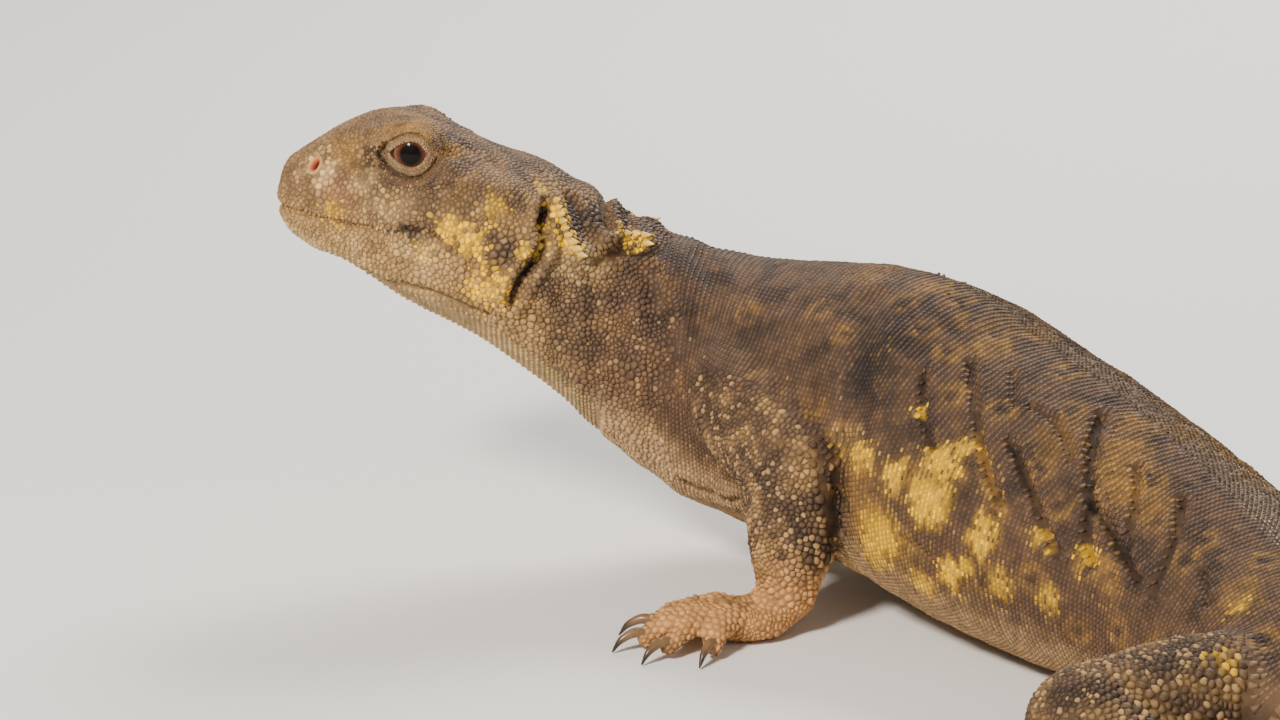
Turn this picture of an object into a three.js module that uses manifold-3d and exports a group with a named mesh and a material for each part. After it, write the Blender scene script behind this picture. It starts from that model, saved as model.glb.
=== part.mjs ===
// A life-size spiny-tailed lizard (uromastyx), standing on the floor with its head raised.
// Sizes are in millimetres, +Z is up, the floor is z = 0 and the head points towards -X.
// The animal's left side faces -Y. The body bends towards its left and the tail swings back.
import * as THREE from "three";
import { mergeVertices } from "three/addons/utils/BufferGeometryUtils.js";
import Module from "manifold-3d";

const wasm = await Module();
wasm.setup();

// Driving sizes
const gap = 0.3; // between neighbouring pieces
const headRoll = THREE.MathUtils.degToRad(-6.5); // the left side of the head is lifted
const rollHeight = 36.5; // of the line that the head rolls about
const snoutTip = { x: -38.3, z: 39.2 };
const snoutRoundness = 1.7;
const eye = { x: -23.4, height: 44.5, toSide: 6.2, radius: 2.9 };
const nostrilPlace = { x: -33.9, height: 42.8 };
const tailSections = 9;
const tailRootHalf = 10.3;
const tailTipHalf = 1.8;
const whorlCount = 20;
const spinesPerWhorl = 8;
const toeRadius = 1.35;

// Body sections from the snout to the vent: where the middle is in plan, the heights of the
// back and the belly, and the half width
const section = (x, y, top, bottom, half) => ({ x, y, top, bottom, half });
const bodySections = [
  section(-36.2, 0, 43.8, 34.6, 4.4),
  section(-34.0, 0, 45.2, 33.2, 6.0),
  section(-31.3, 0, 46.8, 32.0, 7.4),
  section(-28.5, 0, 48.0, 30.4, 8.6),
  section(-25.8, 0, 48.5, 28.6, 9.5),
  section(-23.0, 0, 48.1, 27.0, 10.5),
  section(-20.0, 0, 47.0, 25.6, 11.5),
  section(-17.0, 0, 45.3, 24.0, 12.2),
  section(-14.0, 0, 44.1, 22.0, 12.7),
  section(-11.0, 0, 43.3, 19.8, 12.4),
  section(-8.0, 0, 41.7, 17.5, 11.5),
  section(-4.5, -0.1, 38.8, 14.6, 10.4),
  section(0.0, -0.5, 36.4, 11.0, 10.4),
  section(6.3, -1.5, 34.2, 7.0, 12.0),
  section(12.5, -3.4, 33.0, 5.2, 13.6),
  section(18.6, -6.6, 33.5, 4.1, 14.8),
  section(25.2, -11.0, 34.1, 3.0, 16.0),
  section(32.0, -16.8, 33.1, 1.6, 17.2),
  section(38.2, -23.8, 30.2, 0.4, 17.4),
  section(44.0, -31.2, 28.0, -0.4, 16.8),
  section(50.2, -39.8, 25.2, -0.5, 15.2),
  section(55.8, -49.2, 22.5, -0.5, 13.4),
  section(59.8, -59.2, 20.3, -0.4, 12.0),
  section(62.6, -69.4, 18.9, -0.4, 11.6),
  section(64.8, -79.4, 16.8, -0.4, 11.0),
];
const shoulderSection = 13.4;
const bellySection = 16.4;
const hipSection = 20.6;
const ventSection = bodySections.length - 1;

// The tail lies on the floor and swings back in line with the head
const tailPath = new THREE.CatmullRomCurve3(
  [[64.8, -79.4], [67.4, -90], [73.6, -102], [84, -112], [98, -118.6], [114, -121.4], [131, -120.8], [147, -116.4]].map(
    ([x, y]) => new THREE.Vector3(x, y, 0),
  ),
);
for (let i = 1; i <= tailSections; i++) {
  const f = i / tailSections;
  const at = tailPath.getPointAt(f);
  const half = THREE.MathUtils.lerp(tailRootHalf, tailTipHalf, f ** 1.25);
  bodySections.push(section(at.x, at.y, 1.46 * half - 0.2 + 1.2 * (1 - f), -0.3, half));
}
const tailEnd = bodySections.length - 1;

// Where each length of the body starts and ends, by section number
const lengths = {
  head: [0, 10.6],
  neck: [10.6, shoulderSection],
  chest: [shoulderSection, bellySection],
  belly: [bellySection, hipSection],
  hips: [hipSection, ventSection],
  tail_base: [ventSection, ventSection + 2.7],
  tail_middle: [ventSection + 2.7, ventSection + 4.95],
  tail_rear: [ventSection + 4.95, ventSection + 7.2],
  tail_tip: [ventSection + 7.2, tailEnd],
};

// Skin folds round the neck: place along the body, height and half thickness
const neckFolds = [
  { x: -5.6, high: 1.0, thick: 0.9 },
  { x: -2.8, high: 0.8, thick: 0.65 },
  { x: 0.6, high: 0.5, thick: 1.2 },
  { x: 5.2, high: 0.4, thick: 1.8 },
];

const colours = {
  head: 0x8a7458,
  jaw: 0xa08b63,
  body: 0x6e5b48,
  leg: 0x8a7053,
  foot: 0xa98662,
  tail: 0x75624c,
  eye: 0x1a0f0a,
};

function smoothStep(low, high, value) {
  const f = Math.min(Math.max((value - low) / (high - low), 0), 1);
  return f * f * (3 - 2 * f);
}

// A value read between the sections by a Catmull-Rom spline
function between(key, t) {
  const i = Math.min(Math.max(Math.floor(t), 0), tailEnd - 1);
  const f = t - i;
  const at = (k) => bodySections[Math.min(Math.max(k, 0), tailEnd)][key];
  const [a, b, c, d] = [at(i - 1), at(i), at(i + 1), at(i + 2)];
  return b + 0.5 * f * (c - a + f * (2 * a - 5 * b + 4 * c - d + f * (3 * (b - c) + d - a)));
}

// The body's cross-section at section number t, made larger all round by grow
function sectionAt(t, grow = 0) {
  const step = 0.02;
  const x = between("x", t);
  const y = between("y", t);
  const dx = between("x", t + step) - between("x", t - step);
  const dy = between("y", t + step) - between("y", t - step);
  const length = Math.hypot(dx, dy);
  const fold = neckFolds.reduce((sum, f) => sum + f.high * Math.exp(-(((x - f.x) / f.thick) ** 2)), 0);
  const top = between("top", t);
  const bottom = between("bottom", t);
  const isHead = 1 - smoothStep(-18, -6, x);
  const wide = THREE.MathUtils.lerp(bottom, top, 0.49 - 0.08 * (1 - smoothStep(-29, -14, x)));
  return {
    x,
    y,
    // unit vectors to the animal's left and to its tail, level with the floor
    left: new THREE.Vector2(dy / length, -dx / length),
    back: new THREE.Vector2(dx / length, dy / length),
    wide,
    up: top - wide + grow + fold,
    down: wide - bottom + grow + 0.5 * fold,
    half: between("half", t) + grow + 0.8 * fold,
    upPower: 1.9 + 0.7 * isHead,
    downPower: 2.4 - 0.3 * isHead,
    roll: headRoll * (1 - smoothStep(-6, 12, x)),
  };
}

// A point of the section, from its distance to the left and its height over the floor
function placeIn(s, toLeft, height) {
  const rise = height - rollHeight;
  const across = toLeft * Math.cos(s.roll) + rise * Math.sin(s.roll);
  const z = rollHeight - toLeft * Math.sin(s.roll) + rise * Math.cos(s.roll);
  return new THREE.Vector3(s.x + s.left.x * across, s.y + s.left.y * across, z);
}

const signedPower = (value, power) => Math.sign(value) * Math.abs(value) ** power;

// A point on the section's outline; the angle runs from the left side over the back
function onOutline(s, angle, swell = 1) {
  const isUp = Math.sin(angle) >= 0;
  const power = 2 / (isUp ? s.upPower : s.downPower);
  const toLeft = s.half * swell * signedPower(Math.cos(angle), power);
  const rise = (isUp ? s.up : s.down) * swell * signedPower(Math.sin(angle), power);
  return placeIn(s, toLeft, s.wide + rise);
}

const ringPoints = (s, sides, swell) =>
  Array.from({ length: sides }, (_, j) => onOutline(s, (2 * Math.PI * j) / sides, swell));

// A closed surface over rings of equally many points, from a first pole to a last pole
function closedOver(rings, firstPole, lastPole) {
  const sides = rings[0].length;
  const points = [firstPole, ...rings.flat(), lastPole];
  const faces = [];
  const at = (i, j) => 1 + i * sides + (j % sides);
  for (let j = 0; j < sides; j++) {
    faces.push(0, at(0, j + 1), at(0, j));
    faces.push(points.length - 1, at(rings.length - 1, j), at(rings.length - 1, j + 1));
    for (let i = 0; i + 1 < rings.length; i++) {
      faces.push(at(i, j), at(i, j + 1), at(i + 1, j));
      faces.push(at(i + 1, j), at(i, j + 1), at(i + 1, j + 1));
    }
  }
  const geometry = new THREE.BufferGeometry().setFromPoints(points);
  geometry.setIndex(faces);
  return geometry;
}

// Solids that can be joined and cut

function solidOf(geometry) {
  const bare = geometry.clone();
  bare.deleteAttribute("normal");
  bare.deleteAttribute("uv");
  const merged = mergeVertices(bare, 1e-4);
  const mesh = new wasm.Mesh({
    numProp: 3,
    vertProperties: new Float32Array(merged.attributes.position.array),
    triVerts: new Uint32Array(merged.index.array),
  });
  const made = new wasm.Manifold(mesh);
  if (made.volume() > 0) return made;
  for (let i = 0; i < mesh.triVerts.length; i += 3) {
    [mesh.triVerts[i + 1], mesh.triVerts[i + 2]] = [mesh.triVerts[i + 2], mesh.triVerts[i + 1]];
  }
  return new wasm.Manifold(mesh);
}

const joined = (solids) => solids.reduce((a, b) => a.add(b));
const largest = (solid) => solid.decompose().reduce((a, b) => (b.volume() > a.volume() ? b : a));
const bothSides = (make) => [make(1), make(-1)];

function blockSolid(size, centre, turn = new THREE.Quaternion()) {
  const block = new THREE.BoxGeometry(...size);
  block.applyQuaternion(turn);
  block.translate(...centre);
  return solidOf(block);
}

const underFloor = blockSolid([300, 260, 30], [55, -50, -15]);

// A length of the body as a closed loft
function bodyLoft(from, to, count, sides, grow = 0) {
  const rings = [];
  for (let i = 0; i <= count; i++) {
    rings.push(ringPoints(sectionAt(from + ((to - from) * i) / count, grow), sides));
  }
  const first = sectionAt(from, grow);
  const last = sectionAt(to, grow);
  return closedOver(rings, placeIn(first, 0, first.wide), placeIn(last, 0, last.wide));
}

// The section number that lies a distance behind t
function stepBack(t, distance) {
  const a = sectionAt(t);
  const b = sectionAt(t + 0.05);
  return t + (0.05 * distance) / Math.hypot(b.x - a.x, b.y - a.y);
}

// A tube through points that each have a radius, with round ends
function tubeSolid(points, sides, stepsPerSpan, grow = 0) {
  const curve = new THREE.CatmullRomCurve3(points.map((p) => new THREE.Vector3(...p.at)));
  const spans = points.length - 1;
  const count = spans * stepsPerSpan;
  const radiusAt = (f) => {
    const k = Math.min(Math.floor(f * spans), spans - 1);
    return THREE.MathUtils.lerp(points[k].radius, points[k + 1].radius, smoothStep(0, 1, f * spans - k)) + grow;
  };
  const ring = (f, radius, shift) => {
    const along = curve.getTangent(f);
    const side = new THREE.Vector3(-along.y, along.x, 0);
    if (side.lengthSq() < 0.02) side.set(0, 1, 0);
    side.normalize();
    const over = new THREE.Vector3().crossVectors(along, side);
    const centre = curve.getPoint(f).addScaledVector(along, shift);
    return Array.from({ length: sides }, (_, j) => {
      const angle = (2 * Math.PI * (j + 0.5)) / sides;
      return centre
        .clone()
        .addScaledVector(side, radius * Math.cos(angle))
        .addScaledVector(over, radius * Math.sin(angle));
    });
  };
  const round = Math.SQRT1_2;
  const startRadius = radiusAt(0);
  const endRadius = radiusAt(1);
  const rings = [ring(0, startRadius * round, -startRadius * round)];
  for (let i = 0; i <= count; i++) rings.push(ring(i / count, radiusAt(i / count), 0));
  rings.push(ring(1, endRadius * round, endRadius * round));
  const first = curve.getPoint(0).addScaledVector(curve.getTangent(0), -startRadius);
  const last = curve.getPoint(1).addScaledVector(curve.getTangent(1), endRadius);
  return solidOf(closedOver(rings, first, last));
}

// A pointed spine with its root sunk in the skin
function spineSolid(root, direction, length, radius, sides = 5) {
  const sink = 0.35 * length + 0.3;
  const cone = new THREE.ConeGeometry(radius, length + sink, sides);
  cone.translate(0, (length - sink) / 2, 0);
  const axis = direction.clone().normalize();
  cone.applyQuaternion(new THREE.Quaternion().setFromUnitVectors(new THREE.Vector3(0, 1, 0), axis));
  cone.translate(root.x, root.y, root.z);
  return solidOf(cone);
}

// Head

// The section number of a place along the straight head and neck
function sectionOfX(x) {
  let low = 0;
  let high = shoulderSection;
  for (let i = 0; i < 30; i++) {
    const middle = (low + high) / 2;
    if (between("x", middle) < x) low = middle;
    else high = middle;
  }
  return low;
}

// A point on the side of the head; side is 1 for the left and -1 for the right
function onHead(x, height, side, out = 0) {
  const s = sectionAt(sectionOfX(x));
  const isUp = height >= s.wide;
  const power = isUp ? s.upPower : s.downPower;
  const share = Math.min(Math.abs(height - s.wide) / (isUp ? s.up : s.down), 1);
  return placeIn(s, side * (s.half * (1 - share ** power) ** (1 / power) + out), height);
}

const inHead = (x, toLeft, height) => placeIn(sectionAt(sectionOfX(x)), toLeft, height);

// Gentle swellings and hollows: a line of places along the side of the head, how far the
// surface is pushed out there and how wide the form is
const headForms = [
  { name: "brow", line: [[-27.6, 46.2], [-24.4, 47.2], [-20, 45.6]], push: 0.7, reach: 1.5 },
  { name: "hollow before the eye", line: [[-31, 43.2], [-28, 42.4]], push: -0.5, reach: 1.7 },
  { name: "hollow below the eye", line: [[-26, 39.8], [-20.5, 39.6]], push: -0.35, reach: 1.5 },
  { name: "nose", line: [[-34.2, 42.8], [-33.7, 42.8]], push: 0.5, reach: 1.2 },
  { name: "upper lip", line: [[-37.2, 38.9], [-31, 38.0], [-24.4, 37.7]], push: 0.3, reach: 0.9 },
  { name: "lower lip", line: [[-37.0, 36.4], [-31, 35.8], [-24.8, 35.0]], push: 0.25, reach: 0.9 },
  { name: "jaw edge", line: [[-33.6, 34.0], [-26, 31.4], [-18, 28.6]], push: 0.45, reach: 1.5 },
  { name: "groove under the jaw", line: [[-32, 32.6], [-25, 29.2], [-18, 26.0]], push: -0.55, reach: 1.2 },
  { name: "cheek", line: [[-18.5, 35.5], [-15, 31.5]], push: 0.8, reach: 3.0 },
  { name: "temple", line: [[-19, 42.5], [-13, 40.4]], push: 0.6, reach: 2.4 },
  { name: "hollow behind the eye", line: [[-18.6, 44.6], [-16, 43.8]], push: -0.4, reach: 1.2 },
];

// Moves the surface in or out round the forms of both sides
function pushForms(geometry) {
  geometry.computeVertexNormals();
  const position = geometry.attributes.position;
  const normal = geometry.attributes.normal;
  const forms = headForms.flatMap(({ line, push, reach }) =>
    bothSides((side) => ({ push, reach, line: line.map(([x, height]) => onHead(x, height, side)) })),
  );
  const point = new THREE.Vector3();
  const nearest = new THREE.Vector3();
  const span = new THREE.Line3();
  for (let i = 0; i < position.count; i++) {
    point.fromBufferAttribute(position, i);
    let push = 0;
    for (const form of forms) {
      let distance = Infinity;
      for (let k = 0; k + 1 < form.line.length; k++) {
        span.set(form.line[k], form.line[k + 1]).closestPointToPoint(point, true, nearest);
        distance = Math.min(distance, nearest.distanceTo(point));
      }
      push += form.push * Math.exp(-((distance / form.reach) ** 2));
    }
    point.addScaledVector(new THREE.Vector3().fromBufferAttribute(normal, i), push);
    position.setXYZ(i, point.x, point.y, point.z);
  }
  return geometry;
}

// The head and throat in one closed surface, round at the snout
function headLoft() {
  const sides = 34;
  const frontRings = 4;
  const restRings = 19;
  const rings = [];
  const first = sectionAt(0);
  for (let i = 1; i <= frontRings; i++) {
    const f = i / (frontRings + 1);
    const open = (1 - (1 - f) ** snoutRoundness) ** (1 / snoutRoundness);
    rings.push(
      ringPoints(
        {
          ...first,
          x: THREE.MathUtils.lerp(snoutTip.x, first.x, f),
          wide: THREE.MathUtils.lerp(snoutTip.z, first.wide, open),
          up: first.up * open,
          down: first.down * open,
          half: first.half * open,
        },
        sides,
      ),
    );
  }
  const end = stepBack(lengths.head[1], -gap / 2);
  for (let i = 0; i <= restRings; i++) rings.push(ringPoints(sectionAt((end * i) / restRings), sides));
  const tip = placeIn({ ...first, x: snoutTip.x }, 0, snoutTip.z);
  const last = sectionAt(end);
  return pushForms(closedOver(rings, tip, placeIn(last, 0, last.wide)));
}

// The mouth slit, carried back below the ear, as a thin bent sheet right through the head
function mouthSheet() {
  const line = [[-42, 38.4], [-37.5, 38.2], [-33, 37.4], [-28, 36.7], [-24, 36.5], [-20, 34.4], [-14.5, 28.8], [-2, 19.5]];
  const upper = line.map(([x, z]) => new THREE.Vector2(x, z + gap / 2));
  const lower = line.map(([x, z]) => new THREE.Vector2(x, z - gap / 2)).reverse();
  const halfWidth = 25;
  const sheet = new THREE.ExtrudeGeometry(new THREE.Shape([...upper, ...lower]), {
    depth: 2 * halfWidth,
    bevelEnabled: false,
  });
  sheet.rotateX(Math.PI / 2);
  sheet.translate(0, halfWidth, -rollHeight);
  sheet.rotateX(headRoll);
  sheet.translate(0, 0, rollHeight);
  return solidOf(sheet);
}

function ellipsoid(centre, radii, across = 14, around = 9) {
  const ball = new THREE.SphereGeometry(1, across, around);
  ball.scale(...radii);
  ball.rotateX(headRoll);
  ball.translate(centre.x, centre.y, centre.z);
  return solidOf(ball);
}

const eyeCentre = (side) => inHead(eye.x, side * eye.toSide, eye.height);
const eyeBall = (side, grow = 0) => ellipsoid(eyeCentre(side), Array(3).fill(eye.radius + grow));
const lids = (side) => ellipsoid(inHead(eye.x - 0.1, side * (eye.toSide - 0.2), eye.height), [3.9, 3.9, 3.6]);

// The opening between the lids: a short almond-shaped prism
function lidOpening(side) {
  const front = [-2.5, -0.3];
  const rear = [1.8, 0.1];
  const halfHeight = 1.35;
  const almond = new THREE.Shape();
  almond.moveTo(...front);
  almond.quadraticCurveTo(-0.5, 2 * halfHeight, ...rear);
  almond.quadraticCurveTo(0.3, -2 * halfHeight, ...front);
  const depth = 8;
  const prism = new THREE.ExtrudeGeometry(almond, { depth, bevelEnabled: false, curveSegments: 5 });
  prism.rotateX(Math.PI / 2);
  prism.translate(0, side > 0 ? 0 : depth, 0);
  prism.rotateX(headRoll);
  const centre = eyeCentre(side);
  prism.translate(centre.x, centre.y, centre.z);
  return solidOf(prism);
}

// The ear: a narrow slit down the side of the head, sunk into it
function earSlit(side) {
  const line = [[-10.2, 38.8, 0.55], [-10.6, 36.4, 0.8], [-11.2, 33.4, 0.85], [-12.2, 30.8, 0.7], [-13.4, 28.6, 0.45]];
  const points = line.map(([x, z, radius]) => ({ at: onHead(x, z, side, -0.5).toArray(), radius }));
  return tubeSolid(points, 8, 2);
}

const nostril = (side) =>
  ellipsoid(onHead(nostrilPlace.x, nostrilPlace.height, side, 0.1), [0.45, 1.6, 0.75], 8, 6);

// Pointed scales in short rows: where a row starts and ends on the side of the head or neck,
// how many there are, their size, and how far they lean out from pointing backwards
const spineRows = {
  ear: { from: [-11.5, 36.6], to: [-12.6, 32.0], count: 4, long: 1.25, thick: 0.75, lean: 1.1 },
  fold: { from: [-9.0, 38.8], to: [-7.0, 31.4], count: 7, long: 0.95, thick: 0.75, lean: 1.8 },
  neck: { from: [-1.2, 35.4], to: [0.6, 33.8], count: 4, long: 1.5, thick: 0.7, lean: 1.0 },
};

function rowOfSpines(row, side) {
  return Array.from({ length: row.count }, (_, i) => {
    const f = i / (row.count - 1);
    const x = THREE.MathUtils.lerp(row.from[0], row.to[0], f);
    const height = THREE.MathUtils.lerp(row.from[1], row.to[1], f);
    const root = onHead(x, height, side, -0.1);
    const outward = onHead(x, height, side, 1).sub(root);
    const direction = new THREE.Vector3(1, 0, -0.15).addScaledVector(outward, row.lean);
    const size = 0.75 + 0.25 * Math.sin(Math.PI * (0.2 + 0.7 * f));
    return spineSolid(root, direction, row.long * size, row.thick * size);
  });
}

// The head cut along the mouth: the skull with the upper lip, then the jaw with the throat
function skullAndJaw() {
  let whole = joined([solidOf(headLoft()), ...bothSides(lids)]);
  for (const side of [1, -1]) {
    for (const hollow of [eyeBall(side, gap), lidOpening(side), earSlit(side), nostril(side)]) {
      whole = whole.subtract(hollow);
    }
  }
  const spines = [spineRows.ear, spineRows.fold].flatMap((row) => bothSides((side) => rowOfSpines(row, side)).flat());
  const pieces = joined([whole, ...spines]).subtract(mouthSheet()).decompose();
  pieces.sort((a, b) => b.volume() - a.volume());
  return pieces.slice(0, 2).sort((a, b) => b.boundingBox().max[2] - a.boundingBox().max[2]);
}

// Neck and trunk

function trunkPiece(name, count, sides) {
  const [from, to] = lengths[name];
  const loft = bodyLoft(stepBack(from, gap / 2), stepBack(to, -gap / 2), count, sides);
  return solidOf(loft).subtract(underFloor);
}

const neckPiece = () =>
  largest(joined([trunkPiece("neck", 15, 26), ...bothSides((side) => rowOfSpines(spineRows.neck, side)).flat()]));

// Tail: stepped rings, each with a crown of spines over the back and sides

function whorlSpines(t, whorl) {
  const s = sectionAt(t);
  const size = 0.55 + 0.45 * (s.half / tailRootHalf);
  const lowAngle = -0.06 * Math.PI;
  const highAngle = 1.06 * Math.PI;
  const stagger = whorl % 2 ? 0.12 : -0.12;
  return Array.from({ length: spinesPerWhorl }, (_, j) => {
    const angle = THREE.MathUtils.lerp(lowAngle, highAngle, (j + 0.5 + stagger) / spinesPerWhorl);
    const root = onOutline(s, angle);
    const outward = root.clone().sub(placeIn(s, 0, s.wide)).normalize();
    const direction = new THREE.Vector3(s.back.x, s.back.y, 0.1).addScaledVector(outward, 0.62);
    const sideways = 1 + 0.3 * Math.abs(Math.cos(angle));
    return spineSolid(root, direction, 2.7 * size * sideways, 1.2 * size, 4);
  });
}

function tailPiece(name) {
  const [from, to] = lengths[name];
  const isTip = name === "tail_tip";
  const start = stepBack(from, gap / 2);
  const end = stepBack(to, isTip ? 0 : -gap / 2);
  const sides = 12;
  const margin = 0.02;
  const isInside = (t) => t > start + margin && t < end - margin;
  const rings = [ringPoints(sectionAt(start), sides, 0.97)];
  const spines = [];
  for (let k = 0; k < whorlCount; k++) {
    const whorlLength = (tailEnd - ventSection) / whorlCount;
    const low = ventSection + whorlLength * (k + 0.12);
    const high = ventSection + whorlLength * (k + 0.94);
    if (isInside(low)) rings.push(ringPoints(sectionAt(low), sides, 0.92));
    if (!isInside(high)) continue;
    rings.push(ringPoints(sectionAt(high), sides, 1.03));
    spines.push(...whorlSpines(high, k));
  }
  rings.push(ringPoints(sectionAt(end), sides, 0.97));
  const first = sectionAt(start);
  const last = sectionAt(end);
  const lastPole = placeIn(last, 0, last.wide);
  if (isTip) lastPole.addScaledVector(new THREE.Vector3(last.back.x, last.back.y, 0), 2.6);
  const core = solidOf(closedOver(rings, placeIn(first, 0, first.wide), lastPole));
  const crowned = joined([core, ...spines]).subtract(underFloor);
  if (isTip) return largest(crowned);
  // the last spines lie over the next length without touching it
  return largest(crowned.subtract(solidOf(bodyLoft(stepBack(end, gap), end + 1, 8, sides, 0.6))));
}

// Legs. The joints run from the body outwards, and each toe has a turn from the foot's own
// direction, in degrees towards the inner side, and a length.

const foreLeg = {
  upperRadii: [6.6, 6.2, 5.3],
  lowerRadii: [5.2, 4.9, 3.3],
  palm: [5.2, 3.9, 2.3],
  reach: 4.2,
  toes: [
    { turn: 52, long: 5.4, start: 2.2 },
    { turn: 24, long: 7.6, start: 3.6 },
    { turn: 2, long: 8.8, start: 4.0 },
    { turn: -18, long: 8.4, start: 3.6 },
    { turn: -42, long: 6.6, start: 2.2 },
  ],
};
const hindLeg = {
  upperRadii: [7.6, 7.2, 5.4],
  lowerRadii: [5.4, 5.0, 3.4],
  palm: [7.0, 4.3, 2.5],
  reach: 6.0,
  toes: [
    { turn: 46, long: 6.4, start: 3.2 },
    { turn: 22, long: 9.2, start: 4.8 },
    { turn: 4, long: 11.6, start: 5.2 },
    { turn: -13, long: 13.2, start: 4.8 },
    { turn: -58, long: 9.0, start: 1.4 },
  ],
};

// facing is the direction in plan that the foot points, in degrees from +X towards +Y
const legs = {
  foreleg_left: {
    kind: foreLeg, side: 1, facing: 202, root: [9.8, -11.4, 21.4], joint: [15.9, -25.6, 17.0], end: [15.0, -27.2, 4.4],
  },
  foreleg_right: {
    kind: foreLeg, side: -1, facing: 138, root: [19.0, 5.4, 19.6], joint: [27.6, 13.8, 16.6], end: [25.0, 17.4, 4.4],
  },
  hindleg_left: {
    kind: hindLeg, side: 1, facing: 164, root: [56.4, -72.6, 8.6], joint: [39.6, -82.6, 10.8], end: [49.2, -95.4, 4.0],
  },
  hindleg_right: {
    kind: hindLeg, side: -1, facing: 34, root: [67.2, -68.4, 8.6], joint: [85.6, -60.8, 10.8], end: [88.2, -77.4, 4.0],
  },
};

// The body that the legs are cut clear of
const trunkRoom = solidOf(bodyLoft(9, ventSection + 3, 45, 28, gap));

function toeAndClaw(middle, ahead, out, toe) {
  const at = (distance, height) =>
    middle
      .clone()
      .addScaledVector(ahead, 0.25 * toe.start)
      .addScaledVector(out, toe.start * 0.5 + distance)
      .setZ(height)
      .toArray();
  const tip = toe.long;
  const digit = [
    { at: at(-1, 2.2), radius: toeRadius * 1.1 },
    { at: at(tip * 0.35, 3.1), radius: toeRadius * 1.05 },
    { at: at(tip * 0.7, 2.5), radius: toeRadius },
    { at: at(tip, 1.1), radius: toeRadius * 0.9 },
  ];
  const claw = [
    { at: at(tip - 0.2, 1.6), radius: 0.75 },
    { at: at(tip + 1.6, 1.7), radius: 0.55 },
    { at: at(tip + 2.9, 0.35), radius: 0.2 },
  ];
  return [tubeSolid(digit, 5, 1), tubeSolid(claw, 4, 1)];
}

function footSolid({ kind, side, facing, end }) {
  const turn = THREE.MathUtils.degToRad(facing);
  const heading = (angle) => new THREE.Vector3(Math.cos(angle), Math.sin(angle), 0);
  const ahead = heading(turn);
  const middle = new THREE.Vector3(...end).addScaledVector(ahead, kind.reach).setZ(2.05);
  const palm = new THREE.SphereGeometry(1, 9, 5);
  palm.scale(...kind.palm);
  palm.rotateZ(turn);
  palm.translate(middle.x, middle.y, middle.z);
  const digits = kind.toes.flatMap((toe) =>
    toeAndClaw(middle, ahead, heading(turn - side * THREE.MathUtils.degToRad(toe.turn)), toe),
  );
  return joined([solidOf(palm), ...digits]);
}

// A leg's upper and lower lengths are one form, parted at the joint by a thin cut
function legPieces(name) {
  const leg = legs[name];
  const [root, joint, end] = [leg.root, leg.joint, leg.end].map((p) => new THREE.Vector3(...p));
  const limb = (a, b, radii, grow) => {
    const middle = a.clone().lerp(b, 0.5);
    return tubeSolid([a, middle, b].map((p, i) => ({ at: p.toArray(), radius: radii[i] })), 10, 2, grow);
  };
  const lower = (grow) => limb(joint, end, leg.kind.lowerRadii, grow);
  const along = joint.clone().sub(root).normalize().add(end.clone().sub(joint).normalize()).normalize();
  const turn = new THREE.Quaternion().setFromUnitVectors(new THREE.Vector3(0, 0, 1), along);
  const jointCut = blockSolid([60, 60, gap], joint.toArray(), turn);
  const bent = limb(root, joint, leg.kind.upperRadii).add(lower());
  const lengthsOfLeg = bent.subtract(trunkRoom).subtract(underFloor).subtract(jointCut).decompose();
  lengthsOfLeg.sort((a, b) => b.volume() - a.volume());
  const [upperPiece, lowerPiece] = lengthsOfLeg
    .slice(0, 2)
    .sort((a, b) => b.boundingBox().max[2] + b.boundingBox().min[2] - a.boundingBox().max[2] - a.boundingBox().min[2]);
  const foot = footSolid(leg).subtract(lower(gap)).subtract(trunkRoom).subtract(underFloor);
  const isFore = leg.kind === foreLeg;
  return {
    [isFore ? `${name}_upper_arm` : `${name}_thigh`]: upperPiece,
    [isFore ? `${name}_forearm` : `${name}_shin`]: lowerPiece,
    [isFore ? `${name}_hand` : `${name}_foot`]: largest(foot),
  };
}

// Assembly

const lizard = new THREE.Group();

function addNode(name, solid, colour, roughness = 0.8) {
  const mesh = solid.getMesh();
  const geometry = new THREE.BufferGeometry();
  const positions = new Float32Array(mesh.numVert * 3);
  for (let i = 0; i < mesh.numVert; i++) {
    positions.set(mesh.vertProperties.subarray(i * mesh.numProp, i * mesh.numProp + 3), 3 * i);
  }
  geometry.setAttribute("position", new THREE.BufferAttribute(positions, 3));
  geometry.setIndex(new THREE.BufferAttribute(new Uint32Array(mesh.triVerts), 1));
  geometry.computeVertexNormals();
  const made = new THREE.Mesh(
    geometry,
    new THREE.MeshStandardMaterial({ color: colour, roughness, metalness: 0 }),
  );
  made.name = name;
  lizard.add(made);
}

const [skull, jaw] = skullAndJaw();
addNode("head", skull, colours.head);
addNode("jaw", jaw, colours.jaw);
addNode("eye_left", eyeBall(1), colours.eye, 0.1);
addNode("eye_right", eyeBall(-1), colours.eye, 0.1);
addNode("neck", neckPiece(), colours.body);
addNode("chest", trunkPiece("chest", 8, 26), colours.body);
addNode("belly", trunkPiece("belly", 10, 26), colours.body);
addNode("hips", trunkPiece("hips", 9, 24), colours.body);
for (const name of ["tail_base", "tail_middle", "tail_rear", "tail_tip"]) addNode(name, tailPiece(name), colours.tail);
for (const name of Object.keys(legs)) {
  for (const [part, solid] of Object.entries(legPieces(name))) {
    addNode(part, solid, /hand|foot/.test(part) ? colours.foot : colours.leg);
  }
}

// The origin is on the floor under the middle of the whole animal
const bounds = new THREE.Box3().setFromObject(lizard);
const middle = bounds.getCenter(new THREE.Vector3());
lizard.position.set(-middle.x, -middle.y, -bounds.min.z);

const model = new THREE.Group();
model.add(lizard);

export default model;
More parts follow.
